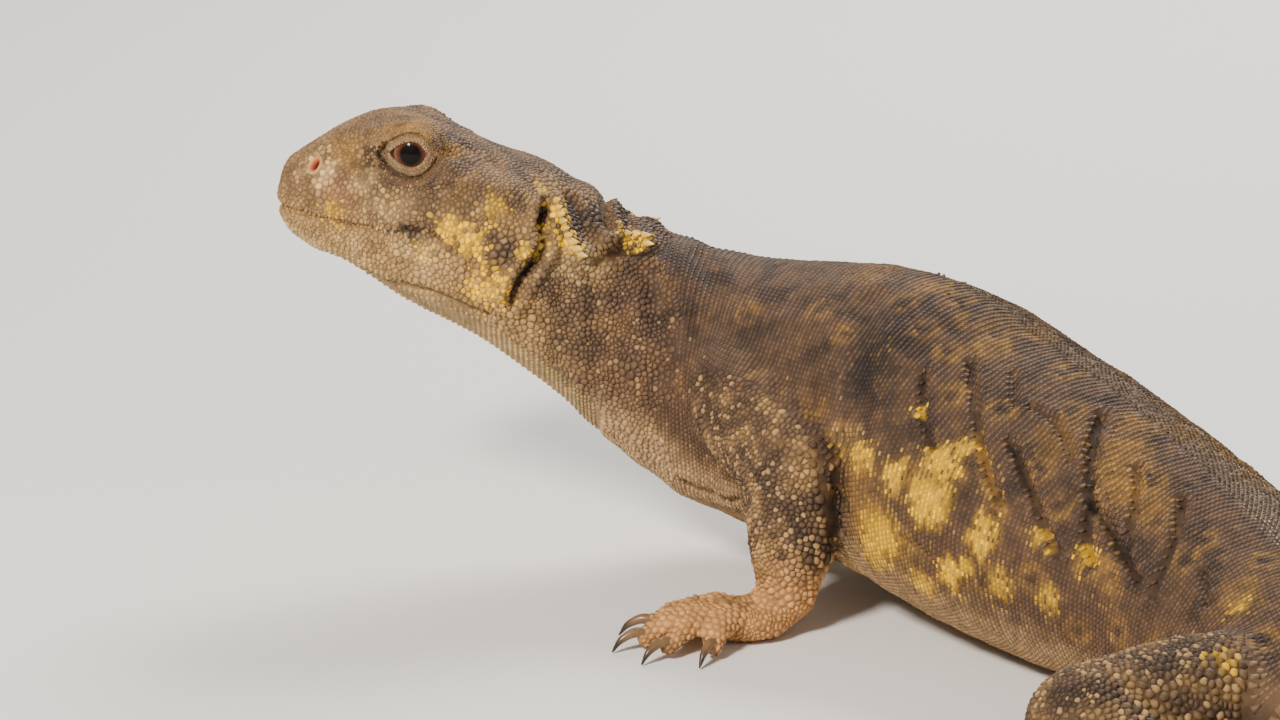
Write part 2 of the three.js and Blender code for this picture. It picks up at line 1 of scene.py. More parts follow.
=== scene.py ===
# A life-size spiny-tailed lizard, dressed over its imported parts: one skin with folds, a coat
# of separate scales, eyes, claws and spines. Shapes are worked out in millimetres, with the
# head towards -X and the floor at z = 0, and moved into the frame when a mesh is written.
import math
import bmesh
import bpy
import numpy as np
from mathutils import Matrix, Vector, noise
from mathutils.bvhtree import BVHTree
from mathutils.kdtree import KDTree


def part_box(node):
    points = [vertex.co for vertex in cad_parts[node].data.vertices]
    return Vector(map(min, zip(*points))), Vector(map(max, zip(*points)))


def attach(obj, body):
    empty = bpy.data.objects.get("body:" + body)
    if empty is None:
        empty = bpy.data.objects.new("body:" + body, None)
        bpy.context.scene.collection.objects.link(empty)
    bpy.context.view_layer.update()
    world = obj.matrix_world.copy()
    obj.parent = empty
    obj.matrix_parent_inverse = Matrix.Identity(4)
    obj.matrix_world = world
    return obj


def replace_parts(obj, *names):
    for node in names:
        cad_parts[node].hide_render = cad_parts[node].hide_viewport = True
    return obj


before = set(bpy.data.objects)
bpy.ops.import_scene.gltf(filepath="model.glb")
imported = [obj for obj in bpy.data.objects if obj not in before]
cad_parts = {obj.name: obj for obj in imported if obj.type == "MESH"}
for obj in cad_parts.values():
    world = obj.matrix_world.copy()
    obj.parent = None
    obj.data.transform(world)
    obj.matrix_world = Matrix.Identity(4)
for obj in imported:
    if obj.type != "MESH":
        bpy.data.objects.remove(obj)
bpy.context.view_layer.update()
draw = np.random.default_rng(11)


def smooth(low, high, value):
    f = np.clip((np.asarray(value, float) - low) / (high - low), 0, 1)
    return f * f * (3 - 2 * f)


def mix(a, b, f):
    return a + (b - a) * f


def bell(value, width, middle=0.0):
    return np.exp(-(((value - middle) / width) ** 2))


def turns(count):
    return np.linspace(0, 2 * math.pi, count, endpoint=False)


def unit(v):
    v = np.asarray(v, float)
    return v / np.maximum(np.linalg.norm(v, axis=-1, keepdims=True), 1e-9)


def spline(a, b, c, d, f):
    # a Catmull-Rom curve, the share f of the way from b to c
    return b + 0.5 * f * (c - a + f * (2 * a - 5 * b + 4 * c - d + f * (3 * (b - c) + d - a)))


def along(points, count):
    # the curve through the points, read at equal steps
    p = np.array(points, float)
    p = np.concatenate([[2 * p[0] - p[1]], p, [2 * p[-1] - p[-2]]])
    t = np.linspace(0, len(p) - 3, count)
    i = np.minimum(t.astype(int), len(p) - 4)
    return spline(p[i], p[i + 1], p[i + 2], p[i + 3], (t - i)[:, None])


def runOf(line):
    # how far along a line each of its points lies
    return np.concatenate([[0], np.cumsum(np.linalg.norm(np.diff(line, axis=0), axis=1))])


def distanceTo(line, points):
    line = np.asarray(line, float)
    best = np.full(len(points), 1e9)
    for a, b in zip(line[:-1], line[1:]):
        ab = b - a
        f = np.clip(((points - a) @ ab) / max(ab @ ab, 1e-9), 0, 1)
        best = np.minimum(best, np.linalg.norm(points - (a + f[:, None] * ab), axis=1))
    return best


def gapTo(places, points):
    # how far each point is from the nearest of a few places
    return np.min([np.linalg.norm(points - at, axis=1) for at in places], axis=0)


def pointTree(places):
    tree = KDTree(len(places))
    for i, p in enumerate(places):
        tree.insert(p, i)
    tree.balance()
    return tree


# The body's own layout, the same named sizes as its solids
body = {
    # x, y, top of the back, belly, half width, from the snout to the tip of the tail
    "sections": [
        (-36.2, 0, 43.8, 34.6, 4.4), (-34.0, 0, 45.2, 33.2, 6.0), (-31.3, 0, 46.8, 32.0, 7.4),
        (-28.5, 0, 48.0, 30.4, 8.6), (-25.8, 0, 48.5, 28.6, 9.5), (-23.0, 0, 48.1, 27.0, 10.5),
        (-20.0, 0, 47.0, 25.6, 11.5), (-17.0, 0, 45.3, 24.0, 12.2), (-14.0, 0, 44.1, 22.0, 12.7),
        (-11.0, 0, 43.3, 19.8, 12.4), (-8.0, 0, 41.7, 17.5, 11.5), (-4.5, -0.1, 38.8, 14.6, 10.4),
        (0.0, -0.5, 36.4, 11.0, 10.4), (6.3, -1.5, 34.2, 7.0, 12.0), (12.5, -3.4, 33.0, 5.2, 13.6),
        (18.6, -6.6, 33.5, 4.1, 14.8), (25.2, -11.0, 34.1, 3.0, 16.0), (32.0, -16.8, 33.1, 1.6, 17.2),
        (38.2, -23.8, 30.2, 0.4, 17.4), (44.0, -31.2, 28.0, -0.4, 16.8),
        (50.2, -39.8, 25.2, -0.5, 15.2), (55.8, -49.2, 22.5, -0.5, 13.4),
        (59.8, -59.2, 20.3, -0.4, 12.0), (62.6, -69.4, 18.9, -0.4, 11.6),
        (64.8, -79.4, 16.8, -0.4, 11.0), (67.64, -90.63, 15.11, -0.3, 9.75),
        (72.86, -100.97, 13.88, -0.3, 9.0), (80.7, -109.48, 12.49, -0.3, 8.15),
        (90.47, -115.67, 11.0, -0.3, 7.22), (101.39, -119.55, 9.42, -0.3, 6.22),
        (112.85, -121.31, 7.76, -0.3, 5.18), (124.44, -121.48, 6.04, -0.3, 4.09),
        (135.89, -119.75, 4.26, -0.3, 2.96), (147.0, -116.4, 2.43, -0.3, 1.8),
    ],
    "roll": math.radians(-6.5),  # the left side of the head is lifted
    "rollHeight": 36.5,
    "snoutTip": (-38.3, 39.2),
    "snoutRound": 1.7,
    "vent": 24.0,  # section numbers
    "neckEnd": 13.4,
    "neckFolds": [(-5.6, 1.0, 0.9), (-2.8, 0.8, 0.65), (0.6, 0.5, 1.2), (5.2, 0.4, 1.8)],
    "coatDepth": 0.26,  # the skin lies this far inside the solids
    "whorls": 20,
    "tailPoint": 2.6,
}
table = np.array(body["sections"], float)
tailEnd = len(table) - 1


def between(column, t):
    i = np.clip(np.floor(t).astype(int), 0, tailEnd - 1)
    a, b, c, d = (table[np.clip(i + k, 0, tailEnd), column] for k in (-1, 0, 1, 2))
    return spline(a, b, c, d, t - i)


def sectionsAt(t, grow=0.0):
    t = np.asarray(t, float)
    x, y, top, bottom = (between(k, t) for k in range(4))
    dx = between(0, t + 0.02) - between(0, t - 0.02)
    dy = between(1, t + 0.02) - between(1, t - 0.02)
    length = np.hypot(dx, dy)
    fold = sum(high * bell(x, thick, at) for at, high, thick in body["neckFolds"])
    isHead = 1 - smooth(-18, -6, x)
    wide = mix(bottom, top, 0.49 - 0.08 * (1 - smooth(-29, -14, x)))
    return {
        "x": x, "y": y, "wide": wide,
        "left": (dy / length, -dx / length), "back": (dx / length, dy / length),
        "up": top - wide + grow + fold, "down": wide - bottom + grow + 0.5 * fold,
        "half": between(4, t) + grow + 0.8 * fold,
        "upPower": 1.9 + 0.7 * isHead, "downPower": 2.4 - 0.3 * isHead,
        "roll": body["roll"] * (1 - smooth(-6, 12, x)),
    }


def placeIn(s, toLeft, height):
    rise = height - body["rollHeight"]
    across = toLeft * np.cos(s["roll"]) + rise * np.sin(s["roll"])
    z = body["rollHeight"] - toLeft * np.sin(s["roll"]) + rise * np.cos(s["roll"])
    x = s["x"] + s["left"][0] * across
    y = s["y"] + s["left"][1] * across
    return np.stack(np.broadcast_arrays(x, y, z), -1)


def middleOf(s):
    return placeIn(s, 0.0, s["wide"])


def onOutline(s, angle, swell=1.0):
    # the angle runs from the left side over the back, and every input may be an array
    isUp = np.sin(angle) >= 0
    power = 2 / np.where(isUp, s["upPower"], s["downPower"])
    c, r = np.cos(angle), np.sin(angle)
    toLeft = s["half"] * swell * np.sign(c) * np.abs(c) ** power
    rise = np.where(isUp, s["up"], s["down"]) * swell * np.sign(r) * np.abs(r) ** power
    return placeIn(s, toLeft, s["wide"] + rise)


def sectionOfX(x):
    ts = np.linspace(0, body["neckEnd"], 800)
    return np.interp(x, between(0, ts), ts)


def inHead(x, toLeft, height):
    return placeIn(sectionsAt(sectionOfX(x)), toLeft, height)


def onHead(x, height, side):
    s = sectionsAt(sectionOfX(x))
    isUp = height >= s["wide"]
    power = s["upPower"] if isUp else s["downPower"]
    share = min(abs(height - s["wide"]) / (s["up"] if isUp else s["down"]), 1)
    return placeIn(s, side * s["half"] * (1 - share ** power) ** (1 / power), height)


# Camera, at the angle of the photograph
lookout = {"from": (0, -461.41, 153.31), "to": (0, 0, 21), "lens": 126.9, "sensor": 36}

eyes = {"x": -23.4, "height": 44.5, "toSide": 6.2, "radius": 2.9}
eyeCentres = {side: inHead(eyes["x"], side * eyes["toSide"], eyes["height"]) for side in (1, -1)}
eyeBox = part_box("eye_left")
toFrame = np.array((eyeBox[0] + eyeBox[1]) / 2) * 1000 - eyeCentres[1]
print("layout to frame, mm:", toFrame.round(3))


def framePoint(p):
    return Vector((np.asarray(p, float) + toFrame) / 1000)


def addObject(name, data):
    made = bpy.data.objects.new(name, data)
    bpy.context.scene.collection.objects.link(made)
    return made


def lookAt(thing, place, target):
    thing.location = framePoint(place)
    aim = framePoint(target) - thing.location
    thing.rotation_euler = aim.to_track_quat("-Z", "Y").to_euler()


camera = addObject("photoCamera", bpy.data.cameras.new("photoCamera"))
camera.data.lens = lookout["lens"]
camera.data.sensor_width = lookout["sensor"]
camera.data.clip_start = 0.01
lookAt(camera, lookout["from"], lookout["to"])
bpy.context.scene.camera = camera


# Meshes made from sheets of points
def meshOf(bm, name):
    mesh = bpy.data.meshes.new(name)
    bm.to_mesh(mesh)
    bm.free()
    return mesh


def wrapGrid(bm, rows):
    # a grid wrapped round into a tube: rows holds its rings, and each ring its points
    count, around, _ = rows.shape
    made = bmesh.ops.create_grid(bm, x_segments=around, y_segments=count - 1, size=1)["verts"]
    for v, p in zip(made, np.concatenate([rows, rows[:, :1]], 1).reshape(-1, 3)):
        v.co = p


def tubeRows(centres, radii, around=20):
    # rings square to a curve, closed with round ends
    c = np.asarray(centres, float)
    r = np.broadcast_to(np.asarray(radii, float), (len(c),)).copy()
    heading = unit(np.gradient(c, axis=0))
    first, last = heading[0], heading[-1]
    bend = np.radians([88, 70, 50, 30, 12])
    early = c[0] - np.outer(r[0] * np.sin(bend), first)
    late = c[-1] + np.outer(r[-1] * np.sin(bend[::-1]), last)
    c = np.concatenate([early, c, late])
    heading = np.concatenate([[first] * len(bend), heading, [last] * len(bend)])
    r = np.concatenate([r[0] * np.cos(bend), r, r[-1] * np.cos(bend[::-1])])
    side = np.array([-first[1], first[0], 0]) if abs(first[2]) < 0.98 else np.array([0, 1.0, 0])
    a = turns(around)[:, None]
    rings = []
    for centre, ahead, radius in zip(c, heading, r):
        side = unit(side - ahead * (side @ ahead))
        over = np.cross(ahead, side)
        rings.append(centre + radius * (np.cos(a) * side + np.sin(a) * over))
    start, end = ([rings[k].mean(0)] * around for k in (0, -1))
    return np.array([start, *rings, end])


# The flesh: body, legs and feet as closed forms, fused into one skin
headForms = [  # a line on the side of the head, how far it swells, how wide
    ([(-27.6, 46.2), (-24.4, 47.2), (-20, 45.6)], 0.7, 1.5),
    ([(-31, 43.2), (-28, 42.4)], -0.5, 1.7),
    ([(-26, 39.8), (-20.5, 39.6)], -0.35, 1.5),
    ([(-34.2, 42.8), (-33.7, 42.8)], 0.5, 1.2),
    ([(-37.2, 38.9), (-31, 38.0), (-24.4, 37.7)], 0.3, 0.9),
    ([(-37.0, 36.4), (-31, 35.8), (-24.8, 35.0)], 0.25, 0.9),
    ([(-33.6, 34.0), (-26, 31.4), (-18, 28.6)], 0.45, 1.5),
    ([(-32, 32.6), (-25, 29.2), (-18, 26.0)], -0.55, 1.2),
    ([(-18.5, 35.5), (-15, 31.5)], 0.8, 3.0),
    ([(-19, 42.5), (-13, 40.4)], 0.6, 2.4),
    ([(-18.6, 44.6), (-16, 43.8)], -0.4, 1.2),
]
foreLeg = {
    "upper": (6.6, 6.2, 5.3), "lower": (5.2, 4.9, 3.3), "palm": (5.2, 3.9, 2.3), "reach": 4.2,
    "toes": [(52, 5.4, 2.2), (24, 7.6, 3.6), (2, 8.8, 4.0), (-18, 8.4, 3.6), (-42, 6.6, 2.2)],
}
hindLeg = {
    "upper": (7.6, 7.2, 5.4), "lower": (5.4, 5.0, 3.4), "palm": (7.0, 4.3, 2.5), "reach": 6.0,
    "toes": [(46, 6.4, 3.2), (22, 9.2, 4.8), (4, 11.6, 5.2), (-13, 13.2, 4.8), (-58, 9.0, 1.4)],
}
legs = {  # kind, side, the way the foot points in degrees, hip or shoulder, joint, wrist or ankle
    "foreLeft": (foreLeg, 1, 202, (9.8, -11.4, 21.4), (15.9, -25.6, 17.0), (15.0, -27.2, 4.4)),
    "foreRight": (foreLeg, -1, 138, (19.0, 5.4, 19.6), (27.6, 13.8, 16.6), (25.0, 17.4, 4.4)),
    "hindLeft": (hindLeg, 1, 164, (56.4, -72.6, 8.6), (39.6, -82.6, 10.8), (49.2, -95.4, 4.0)),
    "hindRight": (hindLeg, -1, 34, (67.2, -68.4, 8.6), (85.6, -60.8, 10.8), (88.2, -77.4, 4.0)),
}
flesh = {
    "voxel": 0.72, "thin": 0.2, "around": 96, "legSteps": 12,
    "snoutRings": 10, "rings": [(0, 12, 84), (12.06, 24, 150), (24.04, tailEnd, 200)],
    "waist": 0.93, "waistEnds": 0.12, "waistLong": 0.82,  # each ring of the tail starts narrower
    "dome": (3.7, 3.7, 3.45), "domeShift": (0.1, 0.2),
    "palmHeight": 2.05, "palmThin": 0.15, "toeRadius": 1.35, "toeThin": 0.1, "knuckle": 0.08,
    "weld": 0.002,
}
toeCurves = [  # share of the toe's length, mm more, height above the floor; then the steps
    ([(0, -1, 2.2), (0.35, 0, 3.0), (0.7, 0, 2.5), (0.97, 0, 1.25)], 26),
    ([(1, -0.5, 1.75), (1, 0.7, 1.95), (1, 2.1, 1.3), (1, 2.95, 0.25)], 14),  # its claw
]


def bodyRows():
    around = flesh["around"]
    angle = turns(around)[None]
    first = sectionsAt(0.0, -body["coatDepth"])
    tipX, tipZ = body["snoutTip"]
    rows = []
    for f in np.linspace(0.03, 0.94, flesh["snoutRings"]) ** 1.4:
        opening = (1 - (1 - f) ** body["snoutRound"]) ** (1 / body["snoutRound"])
        s = dict(first)
        s["x"] = mix(tipX + 0.2, first["x"], f)
        s["wide"] = mix(tipZ, first["wide"], opening)
        for key in ("up", "down", "half"):
            s[key] = first[key] * opening
        rows.append(onOutline(s, angle[0]))
    t = np.concatenate([np.linspace(*part) for part in flesh["rings"]])[:, None]
    share = (t - body["vent"]) / (tailEnd - body["vent"]) * body["whorls"]
    step = np.clip((share % 1 - flesh["waistEnds"]) / flesh["waistLong"], 0, 1)
    swell = np.where(share > 0, mix(flesh["waist"], 1.0, step), 1.0)
    rows.extend(onOutline(sectionsAt(t, -body["coatDepth"]), angle, swell))
    tip = rows[0].mean(0) + np.array([-0.05, 0, 0])
    s = sectionsAt(float(tailEnd))
    end = middleOf(s) + np.array([*s["back"], 0]) * (body["tailPoint"] - 1.0)
    return np.array([[tip] * around, *rows, [end] * around])


def pushHead(rows):
    # the swellings and hollows of the head, worked on the sheet before it is wrapped
    flat = rows.reshape(-1, 3)
    near = flat[:, 0] < -6
    points = flat[near]
    s = sectionsAt(sectionOfX(points[:, 0]))
    outward = unit(points - middleOf(s))
    push = np.zeros(len(points))
    for line, swell, reach in headForms:
        for side in (1, -1):
            d = distanceTo([onHead(x, z, side) for x, z in line], points)
            push += swell * bell(d, reach)
    flat[near] = points + outward * push[:, None]
    return rows


def toeLines(leg):
    kind, side, facing, _, _, end = leg
    turn = math.radians(facing)
    ahead = np.array([math.cos(turn), math.sin(turn), 0])
    middle = np.array(end) + ahead * kind["reach"]
    middle[2] = flesh["palmHeight"]
    toes = []
    for angle, long, start in kind["toes"]:
        a = turn - side * math.radians(angle)
        out = np.array([math.cos(a), math.sin(a), 0])
        toe = []
        for stations, steps in toeCurves:
            path = []
            for share, more, height in stations:
                p = middle + ahead * 0.25 * start + out * (start * 0.5 + (long * share + more))
                path.append((p[0], p[1], height))
            toe.append(along(path, steps))
        toes.append(toe)
    return middle, turn, ahead, toes


bm = bmesh.new()
wrapGrid(bm, pushHead(bodyRows()))
domeBack, domeIn = flesh["domeShift"]
for side in (1, -1):
    at = inHead(eyes["x"] - domeBack, side * (eyes["toSide"] - domeIn), eyes["height"])
    roll = Matrix.Rotation(body["roll"], 4, "X")
    dome = Matrix.Translation(at) @ roll @ Matrix.Diagonal((*flesh["dome"], 1))
    bmesh.ops.create_uvsphere(bm, u_segments=32, v_segments=20, radius=1, matrix=dome)
legAxes = {}
for name, leg in legs.items():
    kind, side, facing, root, joint, end = leg
    middle, turn, ahead, toes = toeLines(leg)
    legAxes[name] = {"middle": middle, "ahead": ahead, "toes": toes}
    for part, start, stop in (("upper", root, joint), ("lower", joint, end)):
        radii = np.interp(np.linspace(0, 2, flesh["legSteps"]), (0, 1, 2), kind[part])
        wrapGrid(bm, tubeRows(np.linspace(start, stop, flesh["legSteps"]), radii - flesh["thin"]))
        legAxes[name][part] = (np.array(start), np.array(stop))
    size = Matrix.Diagonal((*[r - flesh["palmThin"] for r in kind["palm"]], 1))
    palm = Matrix.Translation(middle) @ Matrix.Rotation(turn, 4, "Z") @ size
    bmesh.ops.create_uvsphere(bm, u_segments=24, v_segments=16, radius=1, matrix=palm)
    for digit, _ in toes:
        f = np.linspace(0, 1, len(digit))
        radii = flesh["toeRadius"] * np.interp(f, (0, 0.5, 1), (1.1, 1.0, 0.8)) - flesh["toeThin"]
        wrapGrid(bm, tubeRows(digit, radii + flesh["knuckle"] * np.cos(f * 6 * math.pi), 14))
bmesh.ops.remove_doubles(bm, verts=bm.verts, dist=flesh["weld"])
bmesh.ops.recalc_face_normals(bm, faces=bm.faces)
forms = addObject("forms", meshOf(bm, "forms"))
fuse = forms.modifiers.new("fuse", "REMESH")
fuse.mode = "VOXEL"
fuse.voxel_size = flesh["voxel"]
ease = forms.modifiers.new("ease", "SMOOTH")
ease.factor, ease.iterations = 0.5, 5
bpy.context.view_layer.update()
depsgraph = bpy.context.evaluated_depsgraph_get()
fused = bpy.data.meshes.new_from_object(forms.evaluated_get(depsgraph))
bpy.data.objects.remove(forms)
print("fused flesh:", len(fused.polygons), "faces")


def readPoints(mesh):
    co = np.empty(len(mesh.vertices) * 3, np.float32)
    no = np.empty(len(mesh.vertices) * 3, np.float32)
    mesh.vertices.foreach_get("co", co)
    mesh.vertex_normals.foreach_get("vector", no)
    return co.reshape(-1, 3).astype(float), no.reshape(-1, 3).astype(float)


def treeOf(mesh):
    co, _ = readPoints(mesh)
    return BVHTree.FromPolygons([Vector(c) for c in co], [tuple(p.vertices) for p in mesh.polygons])


# Places read off the photograph, and the same places on the far side
photo = {"width": 1280, "height": 720, "lowest": 60, "step": 2, "away": 470}  # pixels, and mm away
skinTree = treeOf(fused)
axisSteps = np.linspace(0, tailEnd, 1200)
axisPoints = middleOf(sectionsAt(axisSteps))
axisTree = pointTree([(x, y, 0) for x, y, _ in axisPoints])
lengthAlong = runOf(axisPoints)


def onPhoto(u, v):
    # the place on the skin behind a pixel, or behind the first one below it that meets the skin
    start = Vector(lookout["from"])
    ahead = (Vector(lookout["to"]) - start).normalized()
    right = ahead.cross(Vector((0, 0, 1))).normalized()
    up = right.cross(ahead)
    reach = lookout["sensor"] / lookout["lens"] / photo["width"]
    for lower in range(0, photo["lowest"], photo["step"]):
        across, rise = u - photo["width"] / 2, photo["height"] / 2 - v - lower
        line = ahead + right * across * reach + up * rise * reach
        hit = skinTree.ray_cast(start, line.normalized())[0]
        if hit is not None:
            return np.array(hit)
    return np.array(skinTree.find_nearest(start + line * photo["away"])[0])


def bodyCoords(p):
    # section number, place to the left, height and how far out from the middle (1 is the surface)
    index = np.array([axisTree.find((x, y, 0))[1] for x, y, _ in p])
    s = sectionsAt(axisSteps[index])
    across = (p[:, 0] - s["x"]) * s["left"][0] + (p[:, 1] - s["y"]) * s["left"][1]
    rise = p[:, 2] - body["rollHeight"]
    toLeft = across * np.cos(s["roll"]) - rise * np.sin(s["roll"])
    height = across * np.sin(s["roll"]) + rise * np.cos(s["roll"]) + body["rollHeight"]
    over = (height - s["wide"]) / np.where(height > s["wide"], s["up"], s["down"])
    return {
        "t": axisSteps[index], "section": s, "toLeft": toLeft, "height": height,
        "angle": np.arctan2(over, toLeft / s["half"]), "out": np.hypot(over, toLeft / s["half"]),
    }


def otherSide(p):
    c = bodyCoords(p)
    return placeIn(c["section"], -c["toLeft"], c["height"])


def nearestOnSkin(p):
    return np.array(skinTree.find_nearest(Vector(p))[0])


# Folds, creases and swellings: a line of pixels, how far it is pushed, how wide
folds = {
    "head": [
        # behind the mouth corner, and under the jaw
        ([(412, 229), (432, 236), (452, 246), (465, 262), (471, 277)], -0.4, 0.42),
        ([(342, 262), (368, 275), (396, 282), (427, 291), (465, 306), (486, 314)], -0.55, 0.6),
        ([(418, 191), (437, 189), (455, 183)], -0.3, 0.32),  # below the eye
        ([(400, 193), (412, 197), (428, 197)], -0.2, 0.3),
        # the slit of the ear, and the flap before it
        ([(546, 206), (541, 226), (545, 240), (537, 259), (524, 274), (515, 290), (512, 302)],
         -1.35, 0.62),
        ([(533, 206), (528, 226), (531, 243), (523, 258), (511, 276), (505, 292)], 0.5, 0.8),
        ([(556, 199), (560, 215), (562, 228), (568, 240), (573, 249), (579, 256)], 0.65, 0.85),
        ([(572, 200), (580, 214), (585, 232), (592, 244)], -0.5, 0.9),
        ([(590, 196), (594, 212), (600, 238)], 0.3, 0.9),
        ([(603, 202), (604, 214), (607, 234)], -0.5, 0.6),
        ([(613, 206), (613, 216), (614, 230)], 0.3, 0.6),
        ([(622, 210), (624, 218), (627, 230)], -0.4, 0.6),
        ([(592, 250), (606, 241), (624, 234), (648, 240)], 0.7, 1.0),  # fold with the pale spines
        ([(598, 262), (620, 252), (650, 252)], -0.6, 0.7),
        ([(640, 216), (660, 226), (684, 232)], -0.3, 0.8),
        ([(655, 181), (668, 183), (676, 190)], -0.15, 0.4),
        ([(448, 154), (462, 160), (470, 172)], -0.25, 0.6),
        ([(432, 152), (442, 148), (453, 145), (465, 141)], 0.16, 0.5),  # ridge behind the eye
        ([(386, 158), (374, 160), (362, 162)], -0.25, 0.7),  # hollow before the eye
        ([(352, 140), (370, 132), (392, 124)], 0.15, 0.7),  # edge of the brow
        ([(440, 200), (456, 196), (470, 188)], -0.15, 0.4),
        ([(470, 150), (486, 158), (500, 170)], -0.14, 0.5),
        ([(482, 190), (500, 186), (520, 190)], 0.15, 1.2),
        ([(560, 262), (572, 270), (590, 274)], -0.3, 0.7),
        ([(548, 250), (542, 268), (530, 284)], 0.3, 0.9),
        ([(530, 312), (560, 330), (600, 350)], -0.5, 1.1),  # folds of the throat
        ([(560, 300), (590, 318), (640, 345)], -0.45, 1.0),
        ([(640, 270), (655, 300), (662, 335), (660, 370)], -0.5, 1.1),
        ([(700, 255), (712, 285), (712, 320)], -0.35, 1.2),
    ],
    "trunk": [
        ([(926, 372), (922, 400), (928, 432), (934, 446)], -0.65, 0.5),
        ([(971, 363), (976, 408), (983, 453), (992, 480), (1000, 501)], -0.7, 0.5),
        ([(1013, 373), (1014, 405)], -0.4, 0.45),
        ([(1031, 405), (1055, 422), (1069, 446), (1072, 462)], -0.45, 0.45),
        ([(1010, 439), (1028, 481), (1045, 525), (1057, 553)], -0.7, 0.5),
        ([(1103, 415), (1093, 443), (1090, 498), (1088, 536), (1091, 562)], -0.85, 0.6),
        ([(1093, 501), (1114, 532), (1128, 563), (1138, 580)], -0.85, 0.5),
        ([(1138, 467), (1136, 501), (1129, 546)], -0.6, 0.45),
        ([(1184, 501), (1176, 536), (1162, 570), (1153, 595)], -0.7, 0.55),
        ([(1203, 570), (1206, 605)], -0.4, 0.45),
        ([(1108, 440), (1104, 490), (1100, 540)], 0.25, 0.9),
        ([(985, 400), (994, 450), (1010, 500)], 0.2, 1.2),
        ([(868, 300), (862, 350), (858, 400), (852, 440)], -0.5, 1.6),  # hollow behind the shoulder
        ([(905, 540), (930, 560), (950, 590)], -0.35, 0.6),
        ([(845, 440), (842, 500), (838, 560), (828, 600)], -0.7, 0.8),  # behind the arm
    ],
    "arm": [
        ([(676, 470), (694, 478), (712, 483), (735, 492)], 0.5, 0.45),  # thin double fold of the chest
        ([(684, 482), (704, 490), (738, 497)], -0.4, 0.4),
        ([(690, 492), (712, 499), (738, 505)], 0.35, 0.4),
        ([(750, 500), (765, 470), (790, 440)], -0.25, 0.8),
        ([(770, 600), (790, 590), (812, 590)], -0.3, 0.6),  # wrist
        ([(770, 560), (795, 552), (820, 556)], -0.2, 0.6),
    ],
}
farShare = {"head": 0.8, "trunk": 0.35}  # the far side is gentler, and has none of the arm's folds
farWider = 1.2
foldSteps = 14
crease = {
    "deep": -0.3, "fine": 1.1, "lipHigh": 0.28, "lipAt": 1.9,  # its lips stand up a little
    "slitDeep": -0.42, "slitReach": 0.76, "slitHalf": 0.5,  # no scale grows at the bottom of a slit
}
foldLines = []
for where, lines in folds.items():
    for pixels, amount, reach in lines:
        line = along([onPhoto(u, v) for u, v in pixels], foldSteps)
        foldLines.append((line, amount, reach))
        if where in farShare:
            far = np.array([nearestOnSkin(p) for p in otherSide(line)])
            foldLines.append((far, amount * farShare[where], reach * farWider))

# Finer faces on the head and along the creases, and finer still round the eyes
bm = bmesh.new()
bm.from_mesh(fused)


def nearLine(line, p, margin):
    # the numbers of the points in a box round the line
    return np.flatnonzero(np.all((p > line.min(0) - margin) & (p < line.max(0) + margin), 1))


def refine(isNear):
    bm.faces.ensure_lookup_table()
    middles = np.array([f.calc_center_median() for f in bm.faces])
    edges = {e for i in np.flatnonzero(isNear(middles)) for e in bm.faces[i].edges}
    bmesh.ops.subdivide_edges(bm, edges=list(edges), cuts=1, use_grid_fill=True)


def nearCrease(p):
    found = np.zeros(len(p), bool)
    for line, amount, _ in foldLines:
        if amount < crease["deep"]:
            near = nearLine(line, p, 1.5)
            found[near] |= distanceTo(line, p[near]) < crease["fine"]
    return found


def nearEye(p):
    return (p[:, 0] < -18) & (gapTo(eyeCentres.values(), p) < 5.2)


lowest = 0.02  # the skin stops this far above the floor
refine(lambda p: (p[:, 0] < -3) | nearCrease(p))
refine(nearEye)
soft = [v for v in bm.verts if v.co.x < -2]
bmesh.ops.smooth_vert(bm, verts=soft, factor=0.5, use_axis_x=True, use_axis_y=True, use_axis_z=True)
for v in bm.verts:
    v.co.z = max(v.co.z, lowest)
bm.to_mesh(fused)
bm.free()
fused.update()
print("refined flesh:", len(fused.polygons), "faces")

# Every fold pushes the skin along its own normals
points, normals = readPoints(fused)
skinTree = treeOf(fused)
push = np.zeros(len(points))
isSlit = np.zeros(len(points), bool)
for line, amount, reach in foldLines:
    near = nearLine(line, points, 3 * reach)
    d = distanceTo(line, points[near])
    push[near] += amount * bell(d, reach)
    if amount < crease["deep"]:
        push[near] -= crease["lipHigh"] * amount * bell(d, reach, crease["lipAt"] * reach)
    if amount < crease["slitDeep"] and reach < crease["slitReach"]:
        isSlit[near[d < crease["slitHalf"] * reach]] = True

# The nostrils are round pits, set high on the side of the snout
nostril = {"pixel": (315, 165), "reach": 0.58, "depth": 1.1}
nostrils = [onPhoto(*nostril["pixel"])]
nostrils.append(nearestOnSkin(otherSide(nostrils[0][None])[0]))
nostrilFacing = []
for at in nostrils:
    gap = np.linalg.norm(points - at, axis=1)
    nostrilFacing.append(unit(normals[gap < 1.2].mean(0)))
    push -= nostril["depth"] * bell(gap, nostril["reach"])

coords = bodyCoords(points)
isTail = coords["t"] > body["vent"]
onBody = (coords["out"] < 1.12) & (coords["t"] < body["vent"])
isHeadPoint = (points[:, 0] < -6) & (points[:, 2] > 18)

